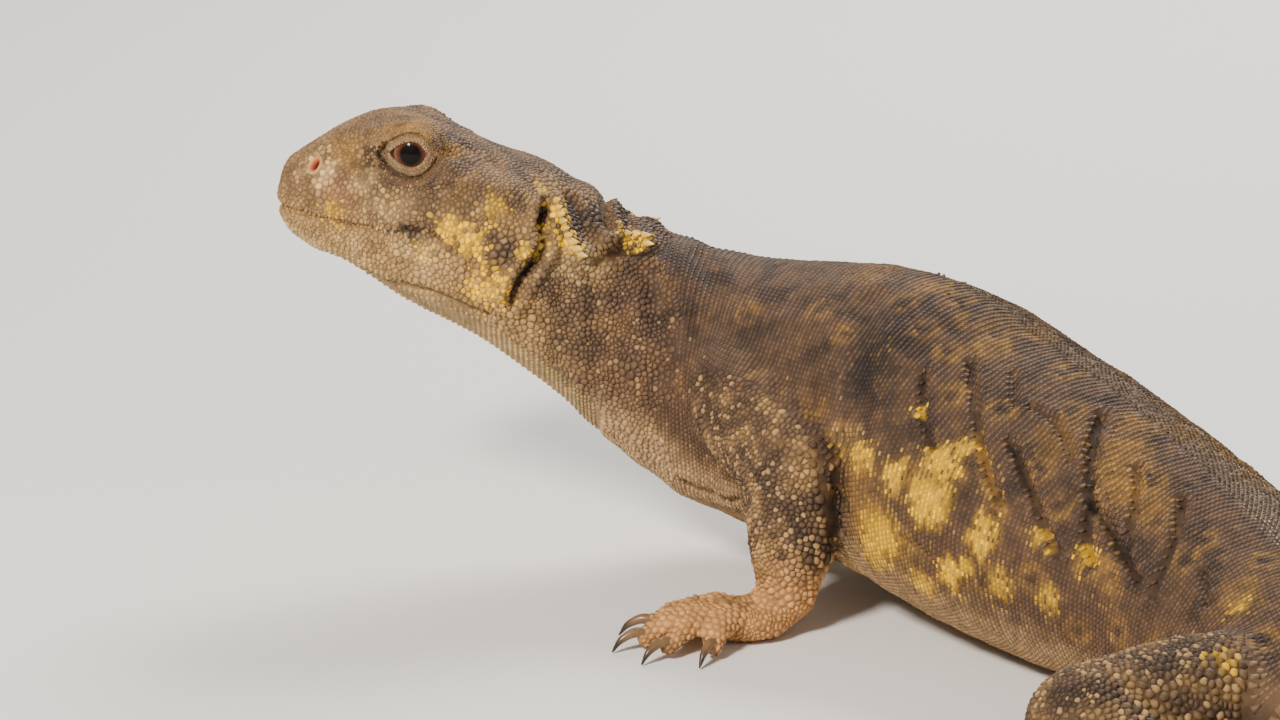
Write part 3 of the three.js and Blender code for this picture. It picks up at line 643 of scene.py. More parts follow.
# The mouth line runs round the snout to its corners, with a lip swelling on both sides
mouth = {
    "line": [(-39, 38.4), (-37.5, 38.2), (-33, 37.4), (-28, 36.7), (-25.4, 36.2), (-23.8, 36.9)],
    "corner": -23.6, "deep": 0.5, "half": 0.27, "lipHigh": 0.14, "lipAt": 0.85, "lipHalf": 0.45,
}
mouthX, mouthZ = np.array(mouth["line"]).T
rise = coords["height"] - np.interp(points[:, 0], mouthX, mouthZ)
mouthShare = isHeadPoint * (1 - smooth(mouth["corner"] - 0.6, mouth["corner"] + 0.3, points[:, 0]))
lip = mouth["lipHigh"] * bell(np.abs(rise), mouth["lipHalf"], mouth["lipAt"])
push += mouthShare * (-mouth["deep"] * bell(rise, mouth["half"]) + lip)


def softNoise(p, scale, seed):
    shift = Vector((seed, seed * 1.7, 0))
    return np.array([noise.noise(Vector(q) + shift) for q in p / scale])


def rowed(c, long, about):
    # places measured along the body and round it, for noise that follows the rows of scales
    run = np.interp(c["t"], axisSteps, lengthAlong)
    return np.stack([run / long, c["angle"] * c["section"]["half"] / about, 0 * run], 1)


# Loose skin: soft upright wrinkles on the flank and round the neck, then broad and fine unevenness
loose = {
    "long": 1.7, "about": 7.5, "sharp": 1.6, "flat": 0.12, "deep": 0.24,
    "broad": (0.16, 3.2, 8.3), "fine": (0.05, 1.1, 5.2),  # depth, size, seed
}
wrinkle = softNoise(rowed(coords, loose["long"], loose["about"]), 1.0, 3.1)
wrinkle = wrinkle - loose["sharp"] * np.clip(np.abs(wrinkle) * -1 + loose["flat"], 0, 1)
onFlank = smooth(0.95, 0.5, np.abs(np.sin(coords["angle"]))) * onBody * smooth(-6, 2, points[:, 0])
push += loose["deep"] * wrinkle * onFlank * (0.6 + 0.4 * (points[:, 0] < 16))
for (deep, scale, seed), share in ((loose["broad"], ~isHeadPoint & ~isTail), (loose["fine"], 1)):
    push += deep * softNoise(points, scale, seed) * share
points = points + normals * push[:, None]

# Lids: the skin dips behind each eyeball inside an almond-shaped opening
lids = {
    "front": -2.45, "rear": 1.72, "peak": 0.05, "top": 1.36, "bottom": -1.32,
    "edge": 0.24, "blend": 1.9, "tiltUp": -0.05, "tiltAhead": 0.11, "powers": (1.7, 2.3), "steps": 40,
    # pleats: height, how far outside the opening, half width
    "above": [(-0.5, 1.08, 0.15), (0.3, 1.5, 0.28), (0.12, 0.65, 0.25), (-0.14, 2.2, 0.2)],
    "below": [(-0.34, 0.8, 0.14), (0.18, 1.2, 0.24), (-0.26, 1.75, 0.16)],
}
farAway = 9.0


def eyeAxes(side):
    roll = body["roll"]
    left = np.array([0, -math.cos(roll), -math.sin(roll)]) * side
    upward = np.array([0, -math.sin(roll), math.cos(roll)])
    out = unit(left + lids["tiltUp"] * upward - np.array([lids["tiltAhead"], 0, 0]))
    back = unit(np.array([1.0, 0, 0]) - out * out[0])
    return out, back, np.cross(out, back) * -side


def lidHeight(a):
    # how far up its full height the edge of the opening is, from the front corner to the rear one
    toFront, toRear = lids["peak"] - lids["front"], lids["rear"] - lids["peak"]
    isFront = a < lids["peak"]
    x = np.where(isFront, (lids["peak"] - a) / toFront, (a - lids["peak"]) / toRear)
    return x, 1 - np.clip(np.abs(x), 0, 1) ** np.where(isFront, *lids["powers"])


def outsideOf(a, b):
    there = np.linspace(lids["front"], lids["rear"], lids["steps"])
    ends = np.concatenate([there, there[::-1]])
    high = np.repeat((lids["top"], lids["bottom"]), lids["steps"])
    outline = np.stack([ends, high * lidHeight(ends)[1], 0 * ends], 1)
    d = distanceTo(outline, np.stack([a, b, 0 * a], 1))
    x, height = lidHeight(a)
    isIn = (np.abs(x) < 1) & (b < lids["top"] * height) & (b > lids["bottom"] * height)
    return np.where(isIn, -d, d)


def bumps(parts, e):
    return sum(high * bell(e, half, at) for high, at, half in parts)


lidEdge = np.full(len(points), farAway)  # how far each point lies outside the opening
for side, centre in eyeCentres.items():
    out, back, upward = eyeAxes(side)
    local = points - centre
    a, b, c = local @ back, local @ upward, local @ out
    near = np.flatnonzero((np.hypot(a, b) < 5.0) & (c > 0))
    a, b, c = a[near], b[near], c[near]
    ball = np.sqrt(np.maximum(eyes["radius"] ** 2 - a * a - b * b, 0))
    e = outsideOf(a, b)
    lidEdge[near] = e
    lift = ball + lids["edge"] * np.sqrt(np.clip(e / 0.22, 0, 1))
    lip = bumps([(0.13, 0.3, 0.2)], e)
    pleats = mix(bumps(lids["below"], e), bumps(lids["above"], e), smooth(-0.4, 0.6, b))
    pleats *= smooth(4.6, 3.4, np.hypot(a, b))
    shown = mix(lift + lip, np.maximum(c, lift), smooth(0.1, lids["blend"], e)) + pleats
    sunk = ball - 0.75 * smooth(0, 0.35, -e)
    # this push is read only by the markings: the hollows of the pleats get painted shade, at twice their
    # depth
    push[near] += np.where(e > 0, 2.0 * np.minimum(pleats, 0), 0)
    isSlit[near] |= (pleats < crease["deep"]) & (e > 0)
    points[near] += np.outer(np.where(e > 0, shown, sunk) - c, out)

points[:, 2] = np.maximum(points[:, 2], lowest)
fused.vertices.foreach_set("co", points.astype(np.float32).ravel())
fused.update()
points, normals = readPoints(fused)
skinTree = treeOf(fused)
coords = bodyCoords(points)
print("sculpted skin")


# Where each scale grows
scales = {
    "trunkRow": 0.62, "trunkAcross": 0.54, "throat": 0.62, "cheek": 0.62, "crown": 0.5,
    "snout": 0.57, "lid": 0.28, "lip": 0.72, "arm": 0.66, "thigh": 0.74, "foot": 0.62, "toe": 0.62,
    "fold": 0.58, "fill": 0.9, "settleRounds": 6,
}
fused.calc_loop_triangles()
corners = np.empty(len(fused.loop_triangles) * 3, np.int32)
fused.loop_triangles.foreach_get("vertices", corners)
corners = corners.reshape(-1, 3)
polyStart = np.empty(len(fused.polygons), np.int32)
fused.polygons.foreach_get("loop_start", polyStart)
loopVerts = np.empty(len(fused.loops), np.int32)
fused.loops.foreach_get("vertex_index", loopVerts)
firstVert = loopVerts[polyStart]
faceNormals = unit(np.add.reduceat(normals[loopVerts], polyStart, axis=0))
allToes = [digit for axes in legAxes.values() for digit, _ in axes["toes"]]
footMiddles = [axes["middle"] for axes in legAxes.values()]


def settle(p):
    # the nearest places on the skin, with its normal and a nearby point's number
    hits = [skinTree.find_nearest(Vector(q)) for q in p]
    face = np.array([h[2] for h in hits])
    return np.array([h[0][:] for h in hits]), faceNormals[face], firstVert[face]


trunkPart, headPart, legPart, footPart, tailPart = range(5)


def regionOf(p, c):
    # which part of the body each place belongs to; the neck counts as trunk
    footGap = gapTo(footMiddles, p)
    isLeg = (c["out"] > 1.14) & ((p[:, 0] > 5.5) | (p[:, 2] < 9))
    region = np.where(c["t"] > body["vent"], tailPart, trunkPart)
    edge = 3.4 + 1.1 * np.sin(4 * c["angle"]) + 0.8 * np.sin(9 * c["angle"] + 1.3)
    region = np.where(p[:, 0] < edge, headPart, region)
    region = np.where(isLeg, legPart, region)
    isLow = (footGap < 6.2) | ((p[:, 2] < 4.4) & (footGap < 21))
    return np.where(isLeg & isLow, footPart, region)


region = regionOf(points, coords)
toeGap = np.full(len(points), farAway)
isFoot = np.flatnonzero(region == footPart)
for digit in allToes:
    toeGap[isFoot] = np.minimum(toeGap[isFoot], distanceTo(digit[5:], points[isFoot]))


def acrossRows(ends, row, across, angles=(-math.pi, math.pi), stagger=0.5, kept=trunkPart):
    # rows of places round the body, read on the skin from the middle outwards
    runs = np.arange(*np.interp(ends, axisSteps, lengthAlong), row)
    fan = np.linspace(*angles, 500)
    found = []
    for i, t in enumerate(np.interp(runs, lengthAlong, axisSteps)):
        s = sectionsAt(t)
        run = runOf(onOutline(s, fan))
        at = np.arange(across * (stagger * (i % 2) + 0.25), run[-1], across)
        start = Vector(middleOf(s))
        for q in onOutline(s, np.interp(at, run, fan)):
            hit = skinTree.ray_cast(start, (Vector(q) - start).normalized())[0]
            if hit is not None and (hit - Vector(q)).length < 2:
                found.append(hit[:])
    found = np.array(found)
    return found[regionOf(found, bodyCoords(found)) == kept]


def evenPlaces(mask, sizeAt, fixed=()):
    # random places spread evenly by moving each to the middle of the surface nearest to it,
    # while the fixed places stay where they are and keep their room
    tri = corners[mask[corners].sum(1) > 1]
    a, b, c = (points[tri[:, k]] for k in range(3))
    area = np.linalg.norm(np.cross(b - a, c - a), axis=1) / 2
    size = sizeAt[tri].mean(1)
    count = int((area / (scales["fill"] * size ** 2)).sum())
    weight = area / size ** 4
    pick = draw.choice(len(tri), count * 16, p=weight / weight.sum())
    f, g = draw.random((2, len(pick)))
    flip = f + g > 1
    f, g = np.where(flip, 1 - f, f)[:, None], np.where(flip, 1 - g, g)[:, None]
    many = a[pick] * (1 - f - g) + b[pick] * f + c[pick] * g
    chance = size[pick] ** 2
    seeds = many[draw.choice(len(many), count, replace=False, p=chance / chance.sum())]
    held = len(fixed)
    if held:
        seeds = np.concatenate([fixed, seeds])
    for _ in range(scales["settleRounds"]):
        tree = pointTree(seeds)
        owner = np.array([tree.find(p)[1] for p in many])
        total = np.bincount(owner, minlength=len(seeds))
        sums = np.stack([np.bincount(owner, many[:, k], len(seeds)) for k in range(3)], 1)
        moved = np.where(total[:, None] > 0, sums / np.maximum(total, 1)[:, None], seeds)
        moved[:held] = seeds[:held]
        seeds = moved[(total > 2) | (np.arange(len(seeds)) < held)]
    return seeds[held:]


def readLine(line, run, at):
    return np.stack([np.interp(at, run, line[:, k]) for k in range(3)], -1)


def lipPlaces():
    # rows of scales along both lips, right round the snout
    rows = []
    x = np.linspace(-23.4, -36.6, 60)
    for offset in (0.5, -0.5, 1.28, -1.26):
        heights = np.interp(x, mouthX, mouthZ) + offset
        left, right = (np.array([onHead(*q, side) for q in zip(x, heights)]) for side in (1, -1))
        tip = [-38.0, 0, left[-1][2] * 0.5 + right[-1][2] * 0.5]
        line = np.concatenate([left, along([left[-1], tip, right[-1]], 12)[1:-1], right[::-1]])
        run = runOf(line)
        rows.append(readLine(line, run, np.linspace(0, run[-1], int(run[-1] / scales["lip"]))))
    return np.concatenate(rows)


def toeRings():
    found = []
    around = 8
    for digit in allToes:
        run = runOf(digit)
        for i, at in enumerate(np.arange(run[-1] * 0.3, run[-1] + 0.5, scales["toe"])):
            centre = Vector(readLine(digit, run, at))
            place = int(np.searchsorted(run, at))
            heading = unit(digit[min(place + 1, len(digit) - 1)] - digit[max(place - 2, 0)])
            side = unit(np.cross(heading, (0, 0, 1.0)))
            over = np.cross(side, heading)
            for k in range(around):
                a = 2 * math.pi * (k + 0.5 * (i % 2)) / around
                hit = skinTree.ray_cast(centre, Vector(math.cos(a) * side + math.sin(a) * over))
                if hit[0] is not None and hit[3] < 2.1:
                    found.append(hit[0][:])
    return np.array(found)


def crownLine(x):
    # the height on the side of the head above which the scales are the crown's
    return np.interp(x, (-36, -24, -14), (40, 41.5, 37.5))


throatSide = np.sin(coords["angle"]) < -0.62
fromCrown = coords["height"] - crownLine(points[:, 0])
headSize = mix(scales["cheek"], scales["crown"], smooth(-1.5, 2.0, fromCrown))
headSize = mix(headSize, scales["snout"], smooth(-28, -32, points[:, 0]))
headSize = mix(scales["lid"], headSize, smooth(1.5, 3.0, lidEdge))
headSize = mix(headSize, scales["fold"], smooth(-12.5, -8.5, points[:, 0]))
isThroat = (region == headPart) & throatSide & (points[:, 0] > -33) & (points[:, 0] < -4)
isHead = (region == headPart) & ~isThroat & (lidEdge > 0.12)
isHead &= gapTo(nostrils, points) > 0.85
legSize = np.where(points[:, 0] > 35, scales["thigh"], scales["arm"])
legSize = legSize * mix(0.85, 1.25, smooth(-0.2, 0.7, normals[:, 0]))  # larger on the rear edge
footSize = np.full(len(points), scales["foot"])

trunkEnds = (sectionOfX(1.2), body["vent"])
throatEnds = sectionOfX((-33.0, -4.0))
throatAngles = (-2.47, -0.67)
lipRow = lipPlaces()
places = {
    "trunk": acrossRows(trunkEnds, scales["trunkRow"], scales["trunkAcross"]),
    "throat": acrossRows(throatEnds, scales["throat"], scales["throat"], throatAngles, 0.0, headPart),
    "lips": lipRow,
    "toes": toeRings(),
}
places["head"] = evenPlaces(isHead, headSize, np.concatenate([lipRow, places["throat"]]))
places["legs"] = evenPlaces(region == legPart, legSize)
places["feet"] = evenPlaces((region == footPart) & (toeGap > 1.7), footSize, places["toes"])


def whorl(k):
    # the angles of the spined plates of one ring of the tail, and the section numbers it spans
    step = (tailEnd - body["vent"]) / body["whorls"]
    count = int(round(mix(17, 9, k / (body["whorls"] - 1))))
    shares = (np.arange(count) + 0.5 + 0.25 * (-1) ** k) / (count + 0.5)
    return mix(-0.13 * math.pi, 1.13 * math.pi, shares), body["vent"] + step * k, step


def tailPlaces():
    # keeled plates over the back and sides of each ring, three rows of small scales below
    plates, below = [], []
    for k in range(body["whorls"]):
        angles, start, step = whorl(k)
        plates.append(onOutline(sectionsAt(start + step * 0.52), angles))
        for share in (0.2, 0.53, 0.86):
            s = sectionsAt(start + step * share)
            n = max(int(s["half"] * 2.0 / 1.15), 3)
            angles = mix(1.17 * math.pi, 1.83 * math.pi, (np.arange(n) + 0.5) / n)
            below.append(onOutline(s, angles))
    return np.concatenate(plates), np.concatenate(below)


places["plates"], places["tailBelow"] = tailPlaces()
order = list(places)
roots, rootNormals, rootPoint = settle(np.concatenate(list(places.values())))
group = np.repeat(np.arange(len(order)), [len(places[k]) for k in order])
print("scales:", {k: len(places[k]) for k in order})

# Neighbours give each scale its outline: half way to each one, measured along its own skin
nearby, nearest = 14, 5
rootTree = pointTree(roots)
neighbours = np.array([[n[1] for n in rootTree.find_n(p, nearby + 1)[1:]] for p in roots])
rootCoords = bodyCoords(roots)
rootRegion = regionOf(roots, rootCoords)
toNeighbour = roots[neighbours] - roots[:, None]
span = np.linalg.norm(toNeighbour, axis=2)
facing = (rootNormals[neighbours] * rootNormals[:, None]).sum(2)
span = np.where((span > 0.05) & (facing > 0.1), span, 99.0)
size = np.sort(span, axis=1)[:, :nearest].mean(1)


def legAt(p):
    def gap(name):
        axes = legAxes[name]
        return np.linalg.norm(axes["middle"] - p) + np.linalg.norm(axes["upper"][1] - p)
    return legAxes[min(legAxes, key=gap)]


# Scales lie backwards: along the body, or down the leg to the toes
back = rootCoords["section"]["back"]
lie = np.stack([back[0], back[1], 0 * back[0]], 1)
lie[rootRegion == headPart] += (0.25, 0, -0.25)
onLimb = (rootRegion == legPart) | (rootRegion == footPart)
for i in np.flatnonzero(onLimb):
    axes = legAt(roots[i])
    if rootRegion[i] == footPart:
        lie[i] = axes["ahead"]
    else:
        start, stop = min((axes["lower"], axes["upper"]), key=lambda q: distanceTo(q, roots[i][None])[0])
        lie[i] = unit(stop - start)
lie = unit(lie - rootNormals * (lie * rootNormals).sum(1)[:, None])
cross = np.cross(rootNormals, lie)


def outlineOf(index, directions):
    # how far each scale reaches in each direction before it meets the next one
    a = turns(directions)[None, :, None]
    ways = lie[index][:, None] * np.cos(a) + cross[index][:, None] * np.sin(a)
    towards = np.einsum("ikc,ijc->ijk", ways, toNeighbour[index])
    own, other = size[index][:, None], size[neighbours[index]]
    half = span[index] ** 2 * np.clip(own / (own + other), 0.36, 0.64)
    reach = np.where(towards > 0.02, half[:, :, None] / np.maximum(towards, 0.02), 99.0).min(1)
    return np.minimum(reach, 0.8 * own), ways


# Markings, shared by the skin and the scales
def paint(red, green, blue):
    # a colour picked on a screen, made linear
    c = np.array([red, green, blue]) / 255
    return np.where(c <= 0.04045, c / 12.92, ((c + 0.055) / 1.055) ** 2.4)


def cover(colour, pigment, share):
    return colour + (pigment - colour) * np.clip(share, 0, 1)[:, None]


paints = {
    "back": paint(88, 65, 47), "backDark": paint(47, 34, 25), "flank": paint(98, 71, 49),
    "ochre": paint(164, 120, 50), "head": paint(114, 86, 58), "headDark": paint(72, 54, 40),
    "face": paint(156, 120, 76), "cheek": paint(168, 132, 80), "tan": paint(172, 134, 76),
    "yellow": paint(248, 192, 8), "cream": paint(214, 180, 120), "dark": paint(32, 23, 18),
    "pink": paint(156, 102, 76), "band": paint(148, 127, 108), "belly": paint(178, 144, 100),
    "arm": paint(108, 82, 56), "armDark": paint(66, 49, 36), "bead": paint(190, 152, 98),
    "hand": paint(200, 146, 88), "lid": paint(164, 132, 96), "tail": paint(124, 94, 64),
    "tailPale": paint(186, 152, 102),
}
blots = {  # pixels of the photograph, radius in mm, strength
    "ochre": [
        (427, 129, 2.4, 0.75), (400, 126, 1.6, 0.5), (443, 149, 0.8, 0.9), (456, 149, 0.7, 0.9),
        (436, 154, 0.6, 0.8), (345, 152, 1.7, 0.7), (352, 172, 1.3, 0.4), (334, 140, 1.0, 0.4),
        (420, 172, 1.4, 0.3), (455, 195, 1.6, 0.4), (1060, 440, 3.0, 0.4), (1126, 451, 2.6, 0.6),
        (1118, 484, 2.6, 0.6), (1108, 470, 1.6, 0.5), (1150, 500, 2.6, 0.5), (1240, 600, 3.0, 0.4),
        (1136, 425, 2.0, 0.5), (993, 346, 2.2, 0.4), (870, 275, 2.4, 0.5), (935, 286, 2.0, 0.5),
        (976, 438, 0.9, 0.9), (980, 452, 1.0, 0.9), (985, 466, 1.0, 0.9), (990, 480, 1.0, 0.9),
        (995, 493, 0.9, 0.9), (1001, 507, 0.8, 0.8), (868, 520, 4.0, 0.5), (852, 470, 3.0, 0.5),
        (905, 560, 3.0, 0.4), (1104, 566, 1.3, 0.8), (1110, 590, 1.2, 0.7),
    ],
    "cream": [
        (412, 206, 1.6, 0.4), (390, 212, 1.4, 0.5), (427, 259, 2.5, 0.5), (365, 184, 1.2, 0.5),
        (375, 205, 1.3, 0.4), (851, 566, 2.4, 0.8), (862, 585, 3.2, 0.8), (852, 443, 1.8, 0.5),
        (400, 247, 1.5, 0.4), (590, 262, 2.5, 0.35), (560, 262, 2.6, 0.4), (352, 246, 1.5, 0.4),
        (303, 168, 0.9, 0.6), (326, 170, 1.1, 0.75), (320, 153, 1.0, 0.6), (320, 181, 0.9, 0.6),
    ],
    "yellow": [
        (452, 231, 1.5, 0.8), (468, 241, 1.5, 0.9), (440, 226, 1.0, 0.5), (478, 236, 0.9, 0.7),
        (470, 248, 0.9, 0.8), (484, 272, 1.2, 0.6), (496, 276, 1.0, 0.8), (490, 291, 1.8, 1.0),
        (474, 288, 1.2, 0.7), (504, 292, 1.0, 0.7), (496, 209, 1.5, 0.4), (334, 212, 1.2, 0.5),
        (527, 252, 0.9, 0.7), (543, 190, 0.7, 0.6), (424, 255, 1.0, 0.4), (938, 463, 1.9, 0.9),
        (929, 501, 2.6, 1.0), (918, 486, 1.4, 0.7), (948, 470, 1.2, 0.9), (962, 448, 1.1, 0.9),
        (984, 524, 1.2, 1.0), (979, 544, 1.3, 1.0), (992, 538, 0.8, 0.8), (950, 574, 1.8, 1.0),
        (966, 566, 1.0, 0.8), (1088, 557, 1.2, 0.9), (1041, 537, 1.1, 0.6), (1052, 545, 0.8, 0.7),
        (921, 412, 0.6, 1.0), (856, 452, 1.6, 0.6), (864, 460, 1.4, 0.6), (894, 478, 1.5, 0.9),
        (902, 466, 0.9, 0.6), (880, 536, 2.8, 0.85), (872, 556, 2.0, 0.55), (1221, 657, 1.2, 0.7),
        (1239, 607, 1.0, 0.6), (925, 585, 1.6, 0.7), (1000, 585, 1.6, 0.6), (1050, 600, 1.4, 0.6),
        (556, 200, 0.8, 0.8), (560, 212, 0.9, 0.9), (563, 226, 0.9, 0.9), (568, 238, 0.9, 0.9),
        (576, 250, 0.9, 0.9), (538, 246, 1.0, 0.8), (543, 232, 0.7, 0.6), (632, 236, 1.3, 0.7),
        (644, 240, 0.9, 0.8),
    ],
    "dark": [
        (374, 158, 1.3, 0.75), (386, 158, 1.1, 0.8), (363, 161, 1.1, 0.55), (394, 157, 0.7, 0.8),
        (449, 134, 1.4, 0.75), (440, 141, 1.2, 0.75), (458, 129, 1.2, 0.65), (432, 147, 0.8, 0.7),
        # painted shade: the four small ones at (404, 231), (412, 234), (390, 229) and (424, 240) darken
        # the mouth line before its corner
        (434, 200, 1.7, 0.45), (420, 212, 1.5, 0.4), (404, 231, 0.6, 0.9), (412, 234, 0.7, 0.9),
        (390, 229, 0.4, 0.6), (424, 240, 0.5, 0.6), (577, 227, 1.5, 0.7), (583, 206, 1.5, 0.6),
        (594, 216, 1.3, 0.5), (606, 212, 1.0, 0.5), (880, 340, 3.4, 0.85), (870, 372, 3.0, 0.9),
        (888, 396, 2.0, 0.6), (898, 330, 2.0, 0.6), (468, 202, 2.2, 0.4), (500, 245, 1.8, 0.4),
        # painted shadow: the six from (828, 450) on run down the rear edge of the arm, a dark line
        # between the arm and the body
        (388, 180, 1.3, 0.3), (655, 215, 1.8, 0.3), (1012, 318, 1.0, 0.4), (828, 450, 1.2, 0.9),
        (834, 478, 1.4, 1.0), (835, 504, 1.4, 1.0), (833, 528, 1.4, 1.0), (830, 552, 1.4, 1.0),
        (826, 576, 1.2, 0.9),
    ],
    "pink": [(331, 184, 2.0, 0.55), (465, 281, 1.1, 0.5), (345, 200, 1.3, 0.4), (300, 182, 1.2, 0.4)],
}
ocelli = {
    "onPhoto": [  # pixels, radius in mm
        (993, 346, 1.9), (1001, 410, 1.4), (1016, 329, 1.5), (1126, 451, 1.9), (948, 352, 1.3),
        (953, 395, 1.4), (1150, 478, 1.7), (1155, 520, 1.5), (1120, 492, 1.5), (1185, 560, 1.5),
        (1205, 540, 1.4), (1240, 590, 1.7), (1266, 560, 1.5), (1225, 655, 1.6), (1262, 640, 1.7),
        (1072, 410, 1.3), (1060, 372, 1.4), (970, 320, 1.3), (905, 300, 1.3), (1040, 468, 1.3),
        (925, 330, 1.2), (957, 300, 1.2),
    ],
    "rows": (13.2, 24.0, 0.62),  # sections, where the photograph shows none
    "angles": [-8, 22, 50, 132, 158, 188], "apart": 4.6, "wide": 0.6, "radii": (1.1, 1.7),
}
markingOrder = {"ochre": 0.85, "pink": 0.7, "cream": 0.85, "dark": 0.9, "yellow": 1.0}
band = {
    "fromRidge": 4.2, "sections": (15.5, 18.5, 21, 24), "half": (0, 2.6, 4.6, 5.2), "blur": 1.7,
    "least": 0.35,  # from this share on, a scale has the band's own shape
}


def blotPlaces(kind):
    near = [(onPhoto(u, v), r, s) for u, v, r, s in blots[kind]]
    far = otherSide(np.array([p for p, _, _ in near]))
    return near + [(q, r * 0.95, s * 0.9) for q, (_, r, s) in zip(far, near)]


def ringPlaces():
    found = [(onPhoto(u, v), r) for u, v, r in ocelli["onPhoto"]]
    far = otherSide(np.array([p for p, _ in found]))
    found += [(q, r) for q, (_, r) in zip(far, found)]
    for t in np.arange(*ocelli["rows"]):
        s = sectionsAt(t)
        for angle in np.radians(ocelli["angles"]) + draw.normal(0, 0.09, len(ocelli["angles"])):
            p = onOutline(s, angle)
            if min(np.linalg.norm(p - q) for q, _ in found) > ocelli["apart"]:
                found.append((p, draw.uniform(*ocelli["radii"])))
    return found


blotAt = {kind: blotPlaces(kind) for kind in blots}
rings = ringPlaces()
ringSize = np.array([r for _, r in rings])
ringTree = pointTree([p for p, _ in rings])


def layered(p, base, *layers):
    colour = np.tile(paints[base], (len(p), 1))
    for pigment, share in layers:
        colour = cover(colour, paints[pigment], share)
    return colour


def trunkColour(p, coarse, fine, wobble, up):
    found = [ringTree.find(q) for q in p]
    radius = ringSize[[n[1] for n in found]]
    gap = np.array([n[2] for n in found]) + 0.5 * wobble
    edge = bell(gap, ocelli["wide"], radius * 0.85)
    isBack = p[:, 0] > 8
    return layered(
        p, "back", ("backDark", smooth(-0.05, 0.45, coarse) * 0.7),
        ("flank", smooth(0.7, 0.05, up) * 0.7),
        ("ochre", smooth(0.12, 0.5, wobble - 0.5 * coarse) * 0.13),
        ("ochre", edge * smooth(-0.5, 0.3, fine) * 0.5 * isBack),
        ("dark", smooth(0.75, 0.25, gap / radius) * 0.45 * isBack),
        ("belly", smooth(-0.25, -0.65, up + 0.12 * wobble) * 0.85),
    )


def headColour(p, coarse, wobble, up):
    low = smooth(0.2, -0.35, up + 0.2 * wobble)
    return layered(
        p, "head", ("headDark", smooth(-0.15, 0.45, coarse) * 0.6),
        ("face", smooth(-22, -31, p[:, 0] + 2.5 * wobble) * 0.5),
        ("tan", smooth(-0.05, 0.45, -coarse) * 0.3),
        ("cheek", low * smooth(-7, -12, p[:, 0]) * 0.65), ("cream", smooth(-0.5, -0.75, up) * 0.5),
    )


def legColour(p, coarse, wobble):
    leg = layered(
        p, "arm", ("armDark", smooth(-0.05, 0.4, coarse) * 0.75),
        ("tan", smooth(0.1, 0.45, -coarse) * 0.4),
    )
    leg[p[:, 0] > 30] *= 0.72  # the hind legs are darker: partly their own darker colour, partly painted shade, as they lie in shadow
    foot = layered(p, "hand", ("arm", smooth(0.1, 0.6, coarse) * 0.4 + 0.35 * (p[:, 0] > 35)))
    return mix(leg, foot, smooth(9.5, 4.5, p[:, 2] + 2 * wobble)[:, None])


def tailColour(p, coarse, up):
    return layered(
        p, "tail", ("backDark", smooth(0.0, 0.5, coarse) * 0.5), ("belly", smooth(-0.2, -0.6, up) * 0.8),
        ("tailPale", smooth(0.0, 0.4, -coarse) * 0.4),
    )


def markings(p, c, where, pushed, lidGap, luck):
    # a colour for each place, from its region, its blots and rings, the lids and the folds of the skin,
    # which are painted darker as shade where the skin is pushed in
    coarse = softNoise(p, 3.1, 1.3) + 0.5 * softNoise(p, 1.3, 4.4)
    fine = softNoise(p, 0.8, 9.1)
    inRows, plain = softNoise(rowed(c, 0.9, 1.6), 1.0, 6.6), softNoise(p, 1.5, 6.6)
    wobble = np.where(where == trunkPart, inRows, plain)
    up = np.sin(c["angle"])
    toHead = smooth(-1.0, -7.0, p[:, 0] + 1.5 * wobble)[:, None]
    colour = mix(trunkColour(p, coarse, fine, wobble, up), headColour(p, coarse, wobble, up), toHead)
    fromRidge = (c["angle"] - math.pi / 2) * c["section"]["half"] - band["fromRidge"]
    half = np.interp(c["t"], band["sections"], band["half"])
    onBand = smooth(0, -band["blur"], np.abs(fromRidge) - half + 0.5 * wobble)
    onBand = onBand * (half > 0.2) * (where == trunkPart)
    # the ridge band's colour: partly its own greyer colour, partly a painted sheen that makes it lighter
    colour = cover(colour, paints["band"], onBand * 0.9)
    toTail = smooth(body["vent"] - 0.8, body["vent"] + 0.6, c["t"])[:, None]
    colour = mix(colour, tailColour(p, coarse, up), toTail)
    isLimb = (where == legPart) | (where == footPart)
    colour = np.where(isLimb[:, None], legColour(p, coarse, wobble), colour)
    for kind, share in markingOrder.items():
        for at, radius, strength in blotAt[kind]:
            gap = np.linalg.norm(p - at, axis=1)
            close = np.flatnonzero(gap < radius * 1.9)
            frayed = gap[close] + 0.8 * wobble[close] + 0.5 * fine[close] + 0.75 * luck[close, 0]
            amount = smooth(1.3, 0.45, frayed / radius) * strength * share
            amount = amount * np.clip(0.9 + 0.25 * luck[close, 1], 0.3, 1)
            colour[close] = cover(colour[close], paints[kind], amount)
    colour = cover(colour, paints["lid"], smooth(1.2, 0.85, lidGap) * 0.5)
    # painted shade: the deeper the skin is pushed in, at folds, creases, wrinkles and pits, the darker it
    # is painted
    return colour * (1 - 0.5 * smooth(0.3, 0.9, -pushed))[:, None], onBand


luck = np.clip(draw.standard_normal((len(roots), 2)), -1.6, 1.6)
skinColour, skinGloss = markings(points, coords, region, push, lidEdge, np.zeros((len(points), 2)))
rootColour, rootGloss = markings(
    roots, rootCoords, rootRegion, push[rootPoint], lidEdge[rootPoint], luck,
)

